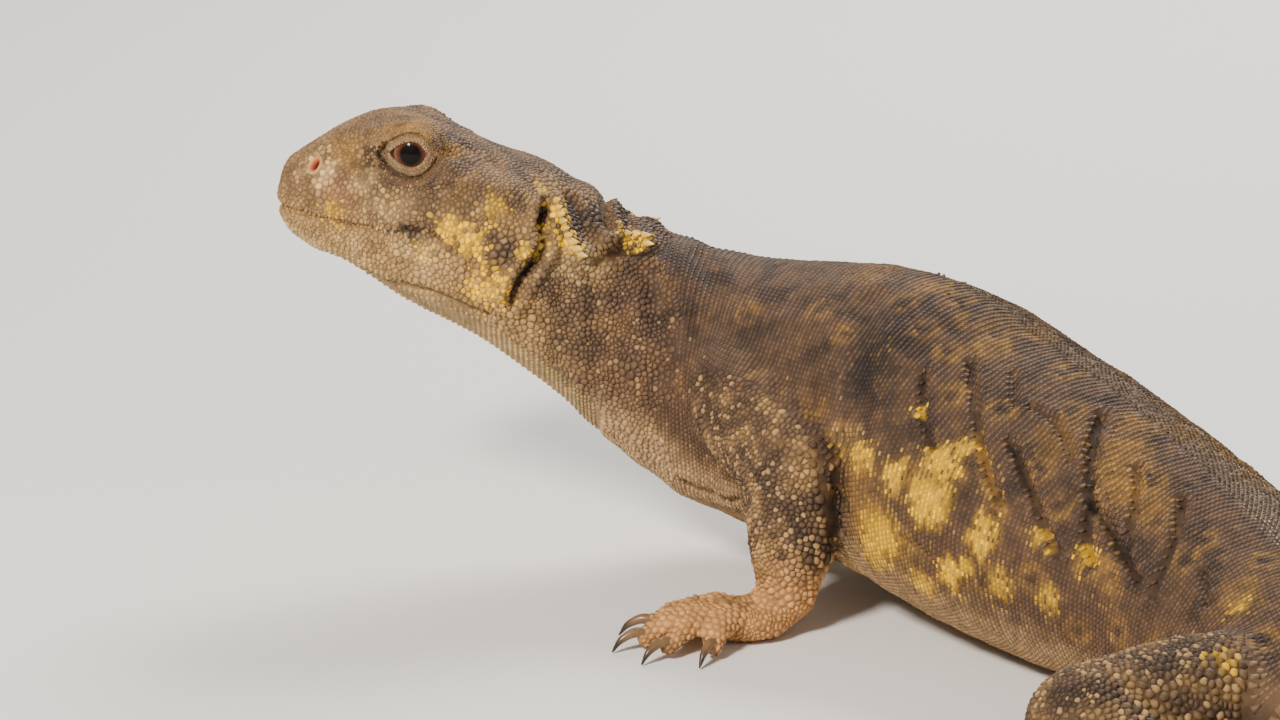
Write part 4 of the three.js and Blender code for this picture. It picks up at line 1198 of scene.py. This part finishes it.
# Single scales differ: brightness, and pale beads on the legs, cheeks and flank
beadChance = {trunkPart: 0.015, headPart: 0.1, legPart: 0.18}
shade = 1 + 0.15 * np.clip(draw.standard_normal(len(roots)), -2, 2)
isLow = np.sin(rootCoords["angle"]) < 0.5
chance = sum(odds * (rootRegion == part) for part, odds in beadChance.items())
chance = chance * (isLow | (rootRegion == legPart))
isBead = draw.random(len(roots)) < chance
beadShare = np.where(isBead, np.where(rootRegion == legPart, 0.6, 0.4), 0)
rootColour = cover(rootColour * shade[:, None], paints["bead"], beadShare)
print("markings done")


# Finishes
def addNode(tree, kind, inputs=None, **settings):
    node = tree.nodes.new(kind)
    for name, value in settings.items():
        setattr(node, name, value)
    for name, value in (inputs or {}).items():
        node.inputs[name].default_value = value
    return node


def wire(tree, *joins):
    for start, output, end, socket in joins:
        tree.links.new(start.outputs[output], end.inputs[socket])


def scaleWear():
    # worn, mottled scale: colour that wanders a little, a rough grain and a height for the bump
    group = bpy.data.node_groups.new("scaleWear", "ShaderNodeTree")
    sockets = group.interface.new_socket
    for name, kind, value in (
        ("Tint", "NodeSocketColor", (0.3, 0.25, 0.2, 1)), ("Gloss", "NodeSocketFloat", 0.0),
        ("Grain", "NodeSocketFloat", 2600.0), ("Mottle", "NodeSocketFloat", 0.22),
        ("Roughness", "NodeSocketFloat", 0.62), ("Shine", "NodeSocketFloat", 0.25),
    ):
        sockets(name, in_out="INPUT", socket_type=kind).default_value = value
    for name, kind in (("Colour", "Color"), ("Roughness", "Float"), ("Height", "Float")):
        sockets(name, in_out="OUTPUT", socket_type="NodeSocket" + kind)
    given = addNode(group, "NodeGroupInput")
    made = addNode(group, "NodeGroupOutput")
    where = addNode(group, "ShaderNodeTexCoord")
    grain = addNode(group, "ShaderNodeTexNoise", {"Detail": 3})
    broad = addNode(group, "ShaderNodeTexNoise", {"Scale": 700, "Detail": 4})
    low = addNode(group, "ShaderNodeMath", {0: 1.0}, operation="SUBTRACT")
    high = addNode(group, "ShaderNodeMath", {0: 1.0}, operation="ADD")
    swing = addNode(group, "ShaderNodeMapRange", {"From Min": 0.3, "From Max": 0.7})
    tinted = addNode(group, "ShaderNodeVectorMath", operation="SCALE")
    shine = addNode(group, "ShaderNodeMath", operation="MULTIPLY")
    smoother = addNode(group, "ShaderNodeMath", operation="SUBTRACT")
    rougher = addNode(group, "ShaderNodeMath", {1: 0.14}, operation="ADD")
    rough = addNode(group, "ShaderNodeMapRange", {"From Min": 0.3, "From Max": 0.7})
    wire(
        group, (where, "Object", grain, "Vector"), (where, "Object", broad, "Vector"),
        (given, "Grain", grain, "Scale"), (given, "Mottle", low, 1), (given, "Mottle", high, 1),
        (broad, "Fac", swing, "Value"), (low, 0, swing, "To Min"), (high, 0, swing, "To Max"),
        (given, "Tint", tinted, 0), (swing, "Result", tinted, "Scale"), (tinted, 0, made, "Colour"),
        (given, "Gloss", shine, 0), (given, "Shine", shine, 1),
        (given, "Roughness", smoother, 0), (shine, 0, smoother, 1), (smoother, 0, rougher, 0),
        (grain, "Fac", rough, "Value"), (smoother, 0, rough, "To Min"), (rougher, 0, rough, "To Max"),
        (rough, "Result", made, "Roughness"), (grain, "Fac", made, "Height"),
    )
    return group


wear = scaleWear()


def hideMaterial(name, grain, mottle, roughness, bump, coat=0.0, coatRoughness=0.3):
    material = bpy.data.materials.new(name)
    material.use_nodes = True
    tree = material.node_tree
    surface = tree.nodes["Principled BSDF"]
    surface.inputs["Specular IOR Level"].default_value = 0.36
    surface.inputs["Coat Weight"].default_value = coat
    surface.inputs["Coat Roughness"].default_value = coatRoughness
    tint = addNode(tree, "ShaderNodeAttribute", attribute_name="tint")
    gloss = addNode(tree, "ShaderNodeAttribute", attribute_name="gloss")
    worn = addNode(tree, "ShaderNodeGroup", node_tree=wear)
    for label, value in (("Grain", grain), ("Mottle", mottle), ("Roughness", roughness)):
        worn.inputs[label].default_value = value
    relief = addNode(tree, "ShaderNodeBump", {"Strength": bump, "Distance": 0.00012})
    wire(
        tree, (tint, "Color", worn, "Tint"), (gloss, "Fac", worn, "Gloss"),
        (worn, "Colour", surface, "Base Color"), (worn, "Roughness", surface, "Roughness"),
        (worn, "Height", relief, "Height"), (relief, "Normal", surface, "Normal"),
    )
    return material


materials = {
    "skin": hideMaterial("skinBetween", 3000, 0.25, 0.7, 0.5),
    "body": hideMaterial("bodyScales", 3600, 0.2, 0.52, 0.35),
    "band": hideMaterial("ridgeScales", 3600, 0.15, 0.36, 0.35, 0.35, 0.35),
    "head": hideMaterial("headScales", 2600, 0.2, 0.5, 0.4),
    "leg": hideMaterial("legScales", 2600, 0.2, 0.6, 0.4),
    "tail": hideMaterial("tailPlates", 2400, 0.22, 0.58, 0.4),
    "horn": hideMaterial("clawHorn", 1400, 0.15, 0.34, 0.2, 0.3),
    "eye": hideMaterial("eyeBall", 5000, 0.12, 0.45, 0.05, 0.7, 0.012),
}
wet = materials["eye"].node_tree.nodes["Principled BSDF"]
wet.inputs["Coat IOR"].default_value = 1.22
wet.inputs["Specular IOR Level"].default_value = 0.05


# Writing the pieces
def store(mesh, name, values, kind="FLOAT"):
    layer = mesh.attributes.new(name, kind, "POINT")
    if kind == "FLOAT_COLOR":
        flat = np.concatenate([values, np.ones((len(values), 1))], 1)
        layer.data.foreach_set("color", flat.astype(np.float32).ravel())
    else:
        layer.data.foreach_set("value", np.asarray(values, np.float32))


def inFrame(p):
    return ((p + toFrame) / 1000).astype(np.float32).ravel()


def dress(mesh, name, material):
    piece = addObject(name, mesh)
    mesh.materials.append(material)
    mesh.shade_smooth()
    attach(piece, "root")
    return piece


fused.vertices.foreach_set("co", inFrame(points))
fused.update()
# painted shade: the skin between the scales is made darker than the scales, for the gaps between them
store(fused, "tint", skinColour * 0.62, "FLOAT_COLOR")
store(fused, "gloss", skinGloss * 0.5)
fused.name = "skin"
skin = dress(fused, "skin", materials["skin"])
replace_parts(skin, *[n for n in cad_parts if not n.startswith("eye")])


# A scale is a round shape drawn up in rings: one is made here and copied to every place
def scaleTemplate(directions, ringCount):
    bm = bmesh.new()
    bmesh.ops.create_circle(bm, segments=directions, radius=1)
    edges = list(bm.edges)
    for k in range(1, ringCount):
        made = bmesh.ops.extrude_edge_only(bm, edges=edges)["geom"]
        verts = [g for g in made if isinstance(g, bmesh.types.BMVert)]
        bmesh.ops.translate(bm, vec=(0, 0, 1), verts=verts)
        edges = [g for g in made if isinstance(g, bmesh.types.BMEdge)]
        edges = [e for e in edges if all(abs(v.co.z - k) < 0.1 for v in e.verts)]
    cap = bmesh.ops.contextual_create(bm, geom=edges)["faces"]
    bmesh.ops.poke(bm, faces=cap)
    bmesh.ops.recalc_face_normals(bm, faces=bm.faces)
    if max(bm.faces, key=lambda f: f.calc_center_median().z).normal.z < 0:
        bmesh.ops.reverse_faces(bm, faces=bm.faces)
    bm.verts.index_update()
    slots = []  # the ring and the direction of each vertex; the last ring is the top
    for v in bm.verts:
        isTop = math.hypot(v.co.x, v.co.y) < 0.1
        way = round(math.atan2(v.co.y, v.co.x) / (2 * math.pi) * directions) % directions
        slots.append((ringCount, 0) if isTop else (round(v.co.z), way))
    faces = [[v.index for v in f.verts] for f in bm.faces]
    bm.free()
    return slots, faces


shapes = {
    # directions, rings as (share of the reach, height as a share of the size), the height of the
    # top and how far back it sits, and how far the rear edge is lifted
    "trunk": (6, [(1.0, -0.1), (0.74, 0.15)], (0.22, 0.12), 0.1),
    "band": (6, [(1.0, -0.1), (0.84, 0.24)], (0.34, 0.45), 0.6),
    "throat": (6, [(1.0, -0.1), (0.8, 0.14)], (0.19, 0.0), 0.06),
    "crown": (7, [(1.0, -0.1), (0.87, 0.08)], (0.12, 0.0), 0.05),
    "cheek": (8, [(1.0, -0.1), (0.87, 0.1), (0.5, 0.19)], (0.23, 0.2), 0.1),
    "lips": (8, [(1.0, -0.1), (0.9, 0.1), (0.62, 0.2)], (0.23, 0.0), 0.05),
    "legs": (7, [(1.0, -0.1), (0.86, 0.12), (0.5, 0.26)], (0.31, 0.15), 0.1),
    "feet": (7, [(1.0, -0.12), (0.8, 0.15)], (0.26, 0.12), 0.12),
    "plates": (14, [(1.0, -0.12), (0.94, 0.05), (0.55, 0.2)], (0.3, 0.5), 0.2),
    "tailBelow": (9, [(1.0, -0.1), (0.88, 0.09)], (0.13, 0.1), 0.06),
}
keels = {"plates": 0.14}  # a ridge along the middle
sizeCaps = {"plates": 1.8}
footShadeTones = {"band": 0.24, "crown": 0.66, "cheek": 0.64}  # how light a scale is at its foot: painted shade where the scales meet, darkest between the rows of the ridge band
footShadeTone = 0.55
scaleFill = 0.955  # how much of its room a scale fills


def stamp(name, kind, index, material):
    directions, rings, (high, backward), tilt = shapes[kind]
    keel = keels.get(kind, 0.0)
    count = len(index)
    reach, ways = outlineOf(index, directions)
    reach *= scaleFill
    middle = reach.mean(1)
    tall = np.minimum(2 * middle, sizeCaps.get(kind, math.inf)) * draw.uniform(0.8, 1.22, count)
    tall = tall[:, None]
    rearward = np.cos(turns(directions))[None]
    root, normal = roots[index], rootNormals[index]
    layers = []
    for share, height in rings:
        lift = height + (tilt * rearward * (height > 0) + keel * (np.abs(rearward) > 0.9)) * share
        across = ways * (reach * share)[:, :, None]
        layers.append(root[:, None] + across + normal[:, None] * (lift * tall)[:, :, None])
    shift = middle * (backward + draw.normal(0, 0.07, count))
    top = root + lie[index] * shift[:, None] + normal * ((high + keel) * tall)
    slots, faces = scaleTemplate(directions, len(rings))
    verts = np.stack([layers[k][:, way] if k < len(rings) else top for k, way in slots], 1)
    verts[:, :, 2] = np.maximum(verts[:, :, 2], 0.0)
    per = len(slots)
    corner = np.array([len(f) for f in faces])
    loops = (np.arange(count)[:, None] * per + np.concatenate(faces)[None]).ravel()
    ends = np.cumsum(np.tile(corner, count))
    mesh = bpy.data.meshes.new(name)
    mesh.vertices.add(count * per)
    mesh.vertices.foreach_set("co", inFrame(verts.reshape(-1, 3)))
    mesh.loops.add(len(loops))
    mesh.loops.foreach_set("vertex_index", loops.astype(np.int32))
    mesh.polygons.add(len(ends))
    mesh.polygons.foreach_set("loop_start", (ends - np.tile(corner, count)).astype(np.int32))
    mesh.update(calc_edges=True)
    # painted shade and highlight: each scale is darker at its foot, where it meets the next, and a little
    # lighter at its top
    shadeTones = [footShadeTones.get(kind, footShadeTone), *np.linspace(0.94, 1.0, len(rings) - 1), 1.06]
    shadeTone = np.array([shadeTones[k] for k, _ in slots])
    tint = rootColour[index][:, None] * shadeTone[None, :, None]
    store(mesh, "tint", tint.reshape(-1, 3), "FLOAT_COLOR")
    store(mesh, "gloss", np.repeat(rootGloss[index], per))
    # each scale is a small patch at its own place on the body's unwrap: along it, and round it
    home = np.stack([rootCoords["t"][index], rootCoords["angle"][index] + 8.0 * onLimb[index]], 1)
    home = 0.015 + 0.97 * (home - home.min(0)) / np.maximum(np.ptp(home, axis=0), 1e-6)
    spot = np.zeros((per, 2))
    for i, (k, way) in enumerate(slots):
        if k < len(rings):
            a = 2 * math.pi * way / directions
            spot[i] = 0.0015 * rings[k][0] * np.array([math.cos(a), math.sin(a)])
    place = (home[:, None] + spot[None]).reshape(-1, 2)
    mesh.uv_layers.new(name="OFBake").data.foreach_set("uv", place[loops].astype(np.float32).ravel())
    print(f"  {name}: {count} scales, {int((corner - 2).sum()) * count} triangles")
    dress(mesh, name, materials[material])


isBand = rootGloss > band["least"]
isCrown = crownLine(roots[:, 0]) < rootCoords["height"]
isOpen = isSlit[rootPoint]
coats = [
    # name, the places it grows from, which of them, shape, material, slot, how many pieces
    ("trunkScales", "trunk", ~isBand & ~isOpen, "trunk", "body", "skin", 3),
    ("ridgeScales", "trunk", isBand, "band", "band", "skin", 1),
    ("throatScales", "throat", True, "throat", "head", "skin", 1),
    ("crownScales", "head", isCrown & ~isOpen, "crown", "head", "skin", 1),
    ("cheekScales", "head", ~isCrown & ~isOpen, "cheek", "head", "skin", 2),
    ("lipScales", "lips", True, "lips", "head", "skin", 1),
    ("legScales", "legs", True, "legs", "leg", "skin", 2),
    ("footScales", "feet", True, "feet", "leg", "foot_skin", 1),
    ("toeScales", "toes", True, "feet", "leg", "foot_skin", 1),
    ("tailPlates", "plates", True, "plates", "tail", "tail_skin", 1),
    ("tailBelow", "tailBelow", True, "tailBelow", "tail", "tail_skin", 1),
]
for name, grows, chosen, kind, material, slot, parts in coats:
    index = np.flatnonzero((group == order.index(grows)) & chosen)
    if parts == 1:
        stamp(name, kind, index, material)
        continue
    fromFront = index[np.argsort(rootCoords["t"][index])]
    for i, part in enumerate(np.array_split(fromFront, parts)):
        stamp(f"{name}{i + 1}", kind, part, material)


# Eyes: a black pupil, an orange-brown iris with a pale rim, and a dark ball beyond
gaze = {"pupil": 1.1, "iris": 1.58, "rim": 1.76, "ball": 2.88, "fibres": 26}
eyePaints = {
    "pupil": paint(8, 6, 5), "inner": paint(52, 26, 16), "outer": paint(88, 48, 31),
    "rim": paint(120, 82, 58), "ball": paint(44, 28, 21),
}


def eyeBall(side, name, node):
    out, back, upward = eyeAxes(side)
    turn = Matrix((back, np.cross(out, back), out)).transposed().to_4x4()
    bm = bmesh.new()
    bmesh.ops.create_uvsphere(bm, u_segments=64, v_segments=64, radius=gaze["ball"], matrix=turn)
    mesh = meshOf(bm, name)
    local, _ = readPoints(mesh)
    off = np.where(local @ out > 0, np.linalg.norm(local - np.outer(local @ out, out), axis=1), 9.0)
    around = np.arctan2(local @ upward, local @ back)
    fibre = 0.5 + 0.5 * np.sin(around * gaze["fibres"] + 2 * np.sin(around * 7))
    share = smooth(gaze["pupil"], gaze["iris"], off + 0.12 * fibre)[:, None]
    colour = eyePaints["inner"] * (1 - share) + eyePaints["outer"] * share
    colour *= (1 + 0.35 * np.clip(-np.sin(around), 0, 1))[:, None]  # brighter below
    colour = cover(colour, eyePaints["pupil"], smooth(gaze["pupil"] + 0.05, gaze["pupil"] - 0.05, off))
    colour = cover(colour, eyePaints["rim"], smooth(gaze["iris"] - 0.05, gaze["iris"] + 0.04, off) * 0.8)
    colour = cover(colour, eyePaints["ball"], smooth(gaze["rim"] - 0.04, gaze["rim"] + 0.06, off))
    mesh.transform(Matrix.Scale(0.001, 4) @ Matrix.Translation(Vector(eyeCentres[side] + toFrame)))
    store(mesh, "tint", colour, "FLOAT_COLOR")
    store(mesh, "gloss", np.zeros(len(colour)))
    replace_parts(dress(mesh, name, materials["eye"]), node)


eyeBall(1, "eyeLeft", "eye_left")
eyeBall(-1, "eyeRight", "eye_right")


# Rings of points joined one to the next and closed at the last: spines, and the nostrils' rims
def addRings(bm, colours, levels, sides=8):
    # each level is a place, a radius and a colour, and each point's colour is added to the list
    before = None
    for place, radius, colour in levels:
        made = bmesh.ops.create_circle(bm, segments=sides, radius=radius, matrix=place)["verts"]
        edges = {e for v in made for e in v.link_edges}
        if before:
            bmesh.ops.bridge_loops(bm, edges=list(before | edges))
        before = edges
        colours += [colour] * sides
    bmesh.ops.poke(bm, faces=bmesh.ops.contextual_create(bm, geom=made)["faces"])
    colours.append(levels[-1][2])


def placeOf(middle, side, over, ahead):
    return Matrix.Translation(middle) @ Matrix((side, over, ahead)).transposed().to_4x4()


spineShape = [(0.0, 1.0), (0.2, 0.86), (0.45, 0.58), (0.75, 0.27), (0.96, 0.06)]  # along, radius


def addSpine(bm, colours, start, heading, outward, length, radius, tints, bend):
    heading = unit(heading)
    side = unit(np.cross(outward, heading))
    over = np.cross(heading, side)
    levels = []
    for f, wide in spineShape:
        middle = start + heading * length * f + over * bend * length * f * f
        levels.append((placeOf(middle, side, over, heading), radius * wide, mix(*tints, f)))
    addRings(bm, colours, levels)


def finish(bm, name, material, colours, outward=None):
    bmesh.ops.recalc_face_normals(bm, faces=bm.faces)
    if outward is not None:
        facing = sum(f.normal.dot(Vector(outward)) * f.calc_area() for f in bm.faces)
        if facing < 0:
            bmesh.ops.reverse_faces(bm, faces=bm.faces)
    for v in bm.verts:
        v.co.z = max(v.co.z, 0.0)
    mesh = meshOf(bm, name)
    if callable(colours):
        colours = colours(readPoints(mesh)[0])
    mesh.transform(Matrix.Scale(0.001, 4) @ Matrix.Translation(Vector(toFrame)))
    store(mesh, "tint", np.array(colours), "FLOAT_COLOR")
    store(mesh, "gloss", np.full(len(mesh.vertices), 0.4))
    print(f"  {name}: {sum(len(p.vertices) - 2 for p in mesh.polygons)} triangles")
    dress(mesh, name, materials[material])


# Spines of the tail: one row at the rear edge of each ring
spines = {
    "share": 0.84, "rise": 0.1, "spread": 0.5, "length": 3.0, "radius": 0.95, "size": (0.5, 0.5),
    "first": (0.55, 0.8), "sunk": 0.42, "bend": 0.16, "thickest": 10.3,
    "tints": (paint(120, 94, 66), paint(196, 168, 122)),
}


def tailSpines():
    bm, colours = bmesh.new(), []
    least, more = spines["size"]
    for k in range(body["whorls"]):
        angles, start, step = whorl(k)
        s = sectionsAt(start + step * spines["share"])
        rearward = np.array([*s["back"], 0.0])
        for angle in angles:
            at = onOutline(s, angle)
            outward = unit(at - middleOf(s))
            size = (least + more * s["half"] / spines["thickest"]) * draw.uniform(0.88, 1.1)
            size *= (0.8 + 0.2 * abs(math.cos(angle))) * (spines["first"][k] if k < 2 else 1)
            heading = rearward + np.array([0, 0, spines["rise"]]) + outward * spines["spread"]
            tints = [c * draw.uniform(0.85, 1.12) for c in spines["tints"]]
            root = at - outward * spines["sunk"] * size
            length, radius = spines["length"] * size, spines["radius"] * size
            addSpine(bm, colours, root, heading, outward, length, radius, tints, spines["bend"])
    finish(bm, "tailSpines", "tail", colours)


tailSpines()

# Small spines of the head and neck: pixel, length and radius in mm, how far each points outwards
neckSpines = {
    "ear": [(537, 228, 1.1, 0.44), (538.5, 237, 1.3, 0.5), (538, 246, 1.35, 0.52), (535, 255, 1.25, 0.5)],
    "fold": [
        (556, 200, 0.7, 0.46), (558, 207, 0.75, 0.46), (560, 214, 0.8, 0.48), (562, 221, 0.85, 0.5),
        (564, 228, 0.9, 0.5), (567, 235, 0.95, 0.5), (571, 242, 1.1, 0.5), (575, 249, 1.2, 0.5),
        (580, 255, 1.15, 0.48),
    ],
    "neck": [(626, 233, 0.9, 0.46), (634, 234, 1.0, 0.48), (643, 235, 1.25, 0.5), (645, 243, 1.25, 0.5)],
    "lip": [
        (377, 226, 0.6, 0.3), (385, 229, 0.7, 0.32), (392, 231, 0.75, 0.32), (399, 233, 0.8, 0.32),
        (406, 234, 0.7, 0.3),
    ],
}
spineYellow = (paint(204, 156, 50), paint(240, 206, 96))
neckSets = {  # rearward, outward, up, and the colours of the root and the tip
    "ear": (1.0, 0.25, -0.12, spineYellow), "fold": (0.8, 0.75, -0.12, spineYellow),
    "neck": (1.0, 0.55, -0.12, spineYellow),
    "lip": (0.2, 0.7, -0.9, (paint(150, 122, 88), paint(206, 180, 130))),
}


def smallSpines():
    bm, colours = bmesh.new(), []
    for where, (rearward, outwards, rise, pair) in neckSets.items():
        for u, v, length, radius in neckSpines[where]:
            near = onPhoto(u, v)
            for at in (near, otherSide(near[None])[0]):
                at, normal, _ = (q[0] for q in settle([at]))
                heading = np.array([rearward, 0, rise]) + normal * outwards
                scale = draw.uniform(0.92, 1.08)
                tints = [c * draw.uniform(0.9, 1.08) for c in pair]
                root = at - normal * 0.15
                addSpine(bm, colours, root, heading, normal, length * scale, radius * scale, tints, 0.1)
    finish(bm, "neckSpines", "head", colours)


smallSpines()


# Nostrils: a pale oval rim round a pink pit, painted dark towards its bottom as shade in the opening
rim = {
    "levels": [  # share of the reach, height in mm, colour
        (1.1, -0.5, paint(120, 94, 62)), (1.0, 0.06, paint(178, 142, 94)),
        (0.86, 0.14, paint(196, 148, 98)), (0.7, 0.06, paint(206, 124, 78)),
        (0.56, -0.2, paint(180, 88, 54)), (0.42, -0.5, paint(96, 42, 28)), (0.2, -0.7, paint(30, 15, 12)),
    ],
    "reach": (0.86, 1.06), "lean": 0.18, "slit": 0.6,
}


def nostrilRim(name, at, outward):
    upward = unit(np.array([rim["lean"], 0, 1.0]) - outward * outward[2])
    side = np.cross(upward, outward) * rim["reach"][0]
    bm, colours, levels = bmesh.new(), [], []
    for share, height, colour in rim["levels"]:
        narrow = mix(rim["slit"], 1.0, smooth(0.3, 0.9, share))
        place = placeOf(at + outward * height, side * narrow, upward * rim["reach"][1], outward)
        levels.append((place, share, colour))
    addRings(bm, colours, levels, 24)
    finish(bm, name, "head", colours, outward)


for name, at, outward in zip(("nostrilLeft", "nostrilRight"), nostrils, nostrilFacing):
    nostrilRim(name, at, outward)

# Claws: a horn that narrows and bends down from the end of each toe
horn = {"radii": (0.62, 0.52, 0.36, 0.1), "base": paint(120, 92, 62), "tip": paint(46, 34, 26)}
claws = [claw for axes in legAxes.values() for _, claw in axes["toes"]]


def clawColour(p):
    gap = gapTo([claw[-1] for claw in claws], p)
    return mix(horn["tip"], horn["base"], smooth(0.6, 2.6, gap)[:, None])


bm = bmesh.new()
for claw in claws:
    radii = np.interp(np.linspace(0, 1, len(claw)), np.linspace(0, 1, 4), horn["radii"])
    wrapGrid(bm, tubeRows(claw, radii, 14))
bmesh.ops.remove_doubles(bm, verts=bm.verts, dist=flesh["weld"])
finish(bm, "claws", "horn", clawColour)
print("eyes, spines and claws done")


# Floor and light
studio = {
    "floor": (0.86, 0.84, 0.81, 1), "world": (0.95, 0.97, 1.0, 1), "worldStrength": 0.24,
    "lamps": [  # name, place in mm, width in m, watts, colour
        ("key", (-220, -400, 385), 0.1, 4.9, (1.0, 0.93, 0.84)),
        ("fill", (380, -420, 200), 0.5, 0.7, (0.9, 0.95, 1.0)),
        ("rim", (160, 380, 420), 0.25, 4.0, (1.0, 0.97, 0.92)),
    ],
    "lampsAim": (10, -20, 25), "floorHalf": 10,
}


def addFloor():
    bm = bmesh.new()
    bmesh.ops.create_grid(bm, x_segments=1, y_segments=1, size=studio["floorHalf"])
    floor = addObject("floor", meshOf(bm, "floor"))
    plain = bpy.data.materials.new("paleFloor")
    plain.use_nodes = True
    surface = plain.node_tree.nodes["Principled BSDF"]
    surface.inputs["Base Color"].default_value = studio["floor"]
    surface.inputs["Roughness"].default_value = 0.9
    floor.data.materials.append(plain)


def addLamps():
    for name, place, width, watts, colour in studio["lamps"]:
        lamp = bpy.data.lights.new(name, "AREA")
        lamp.energy, lamp.size, lamp.color = watts, width, colour
        lookAt(addObject(name, lamp), place, studio["lampsAim"])


addFloor()
addLamps()
world = bpy.data.worlds.new("softWorld")
bpy.context.scene.world = world
world.use_nodes = True
sky = world.node_tree.nodes["Background"]
sky.inputs["Color"].default_value = studio["world"]
sky.inputs["Strength"].default_value = studio["worldStrength"]
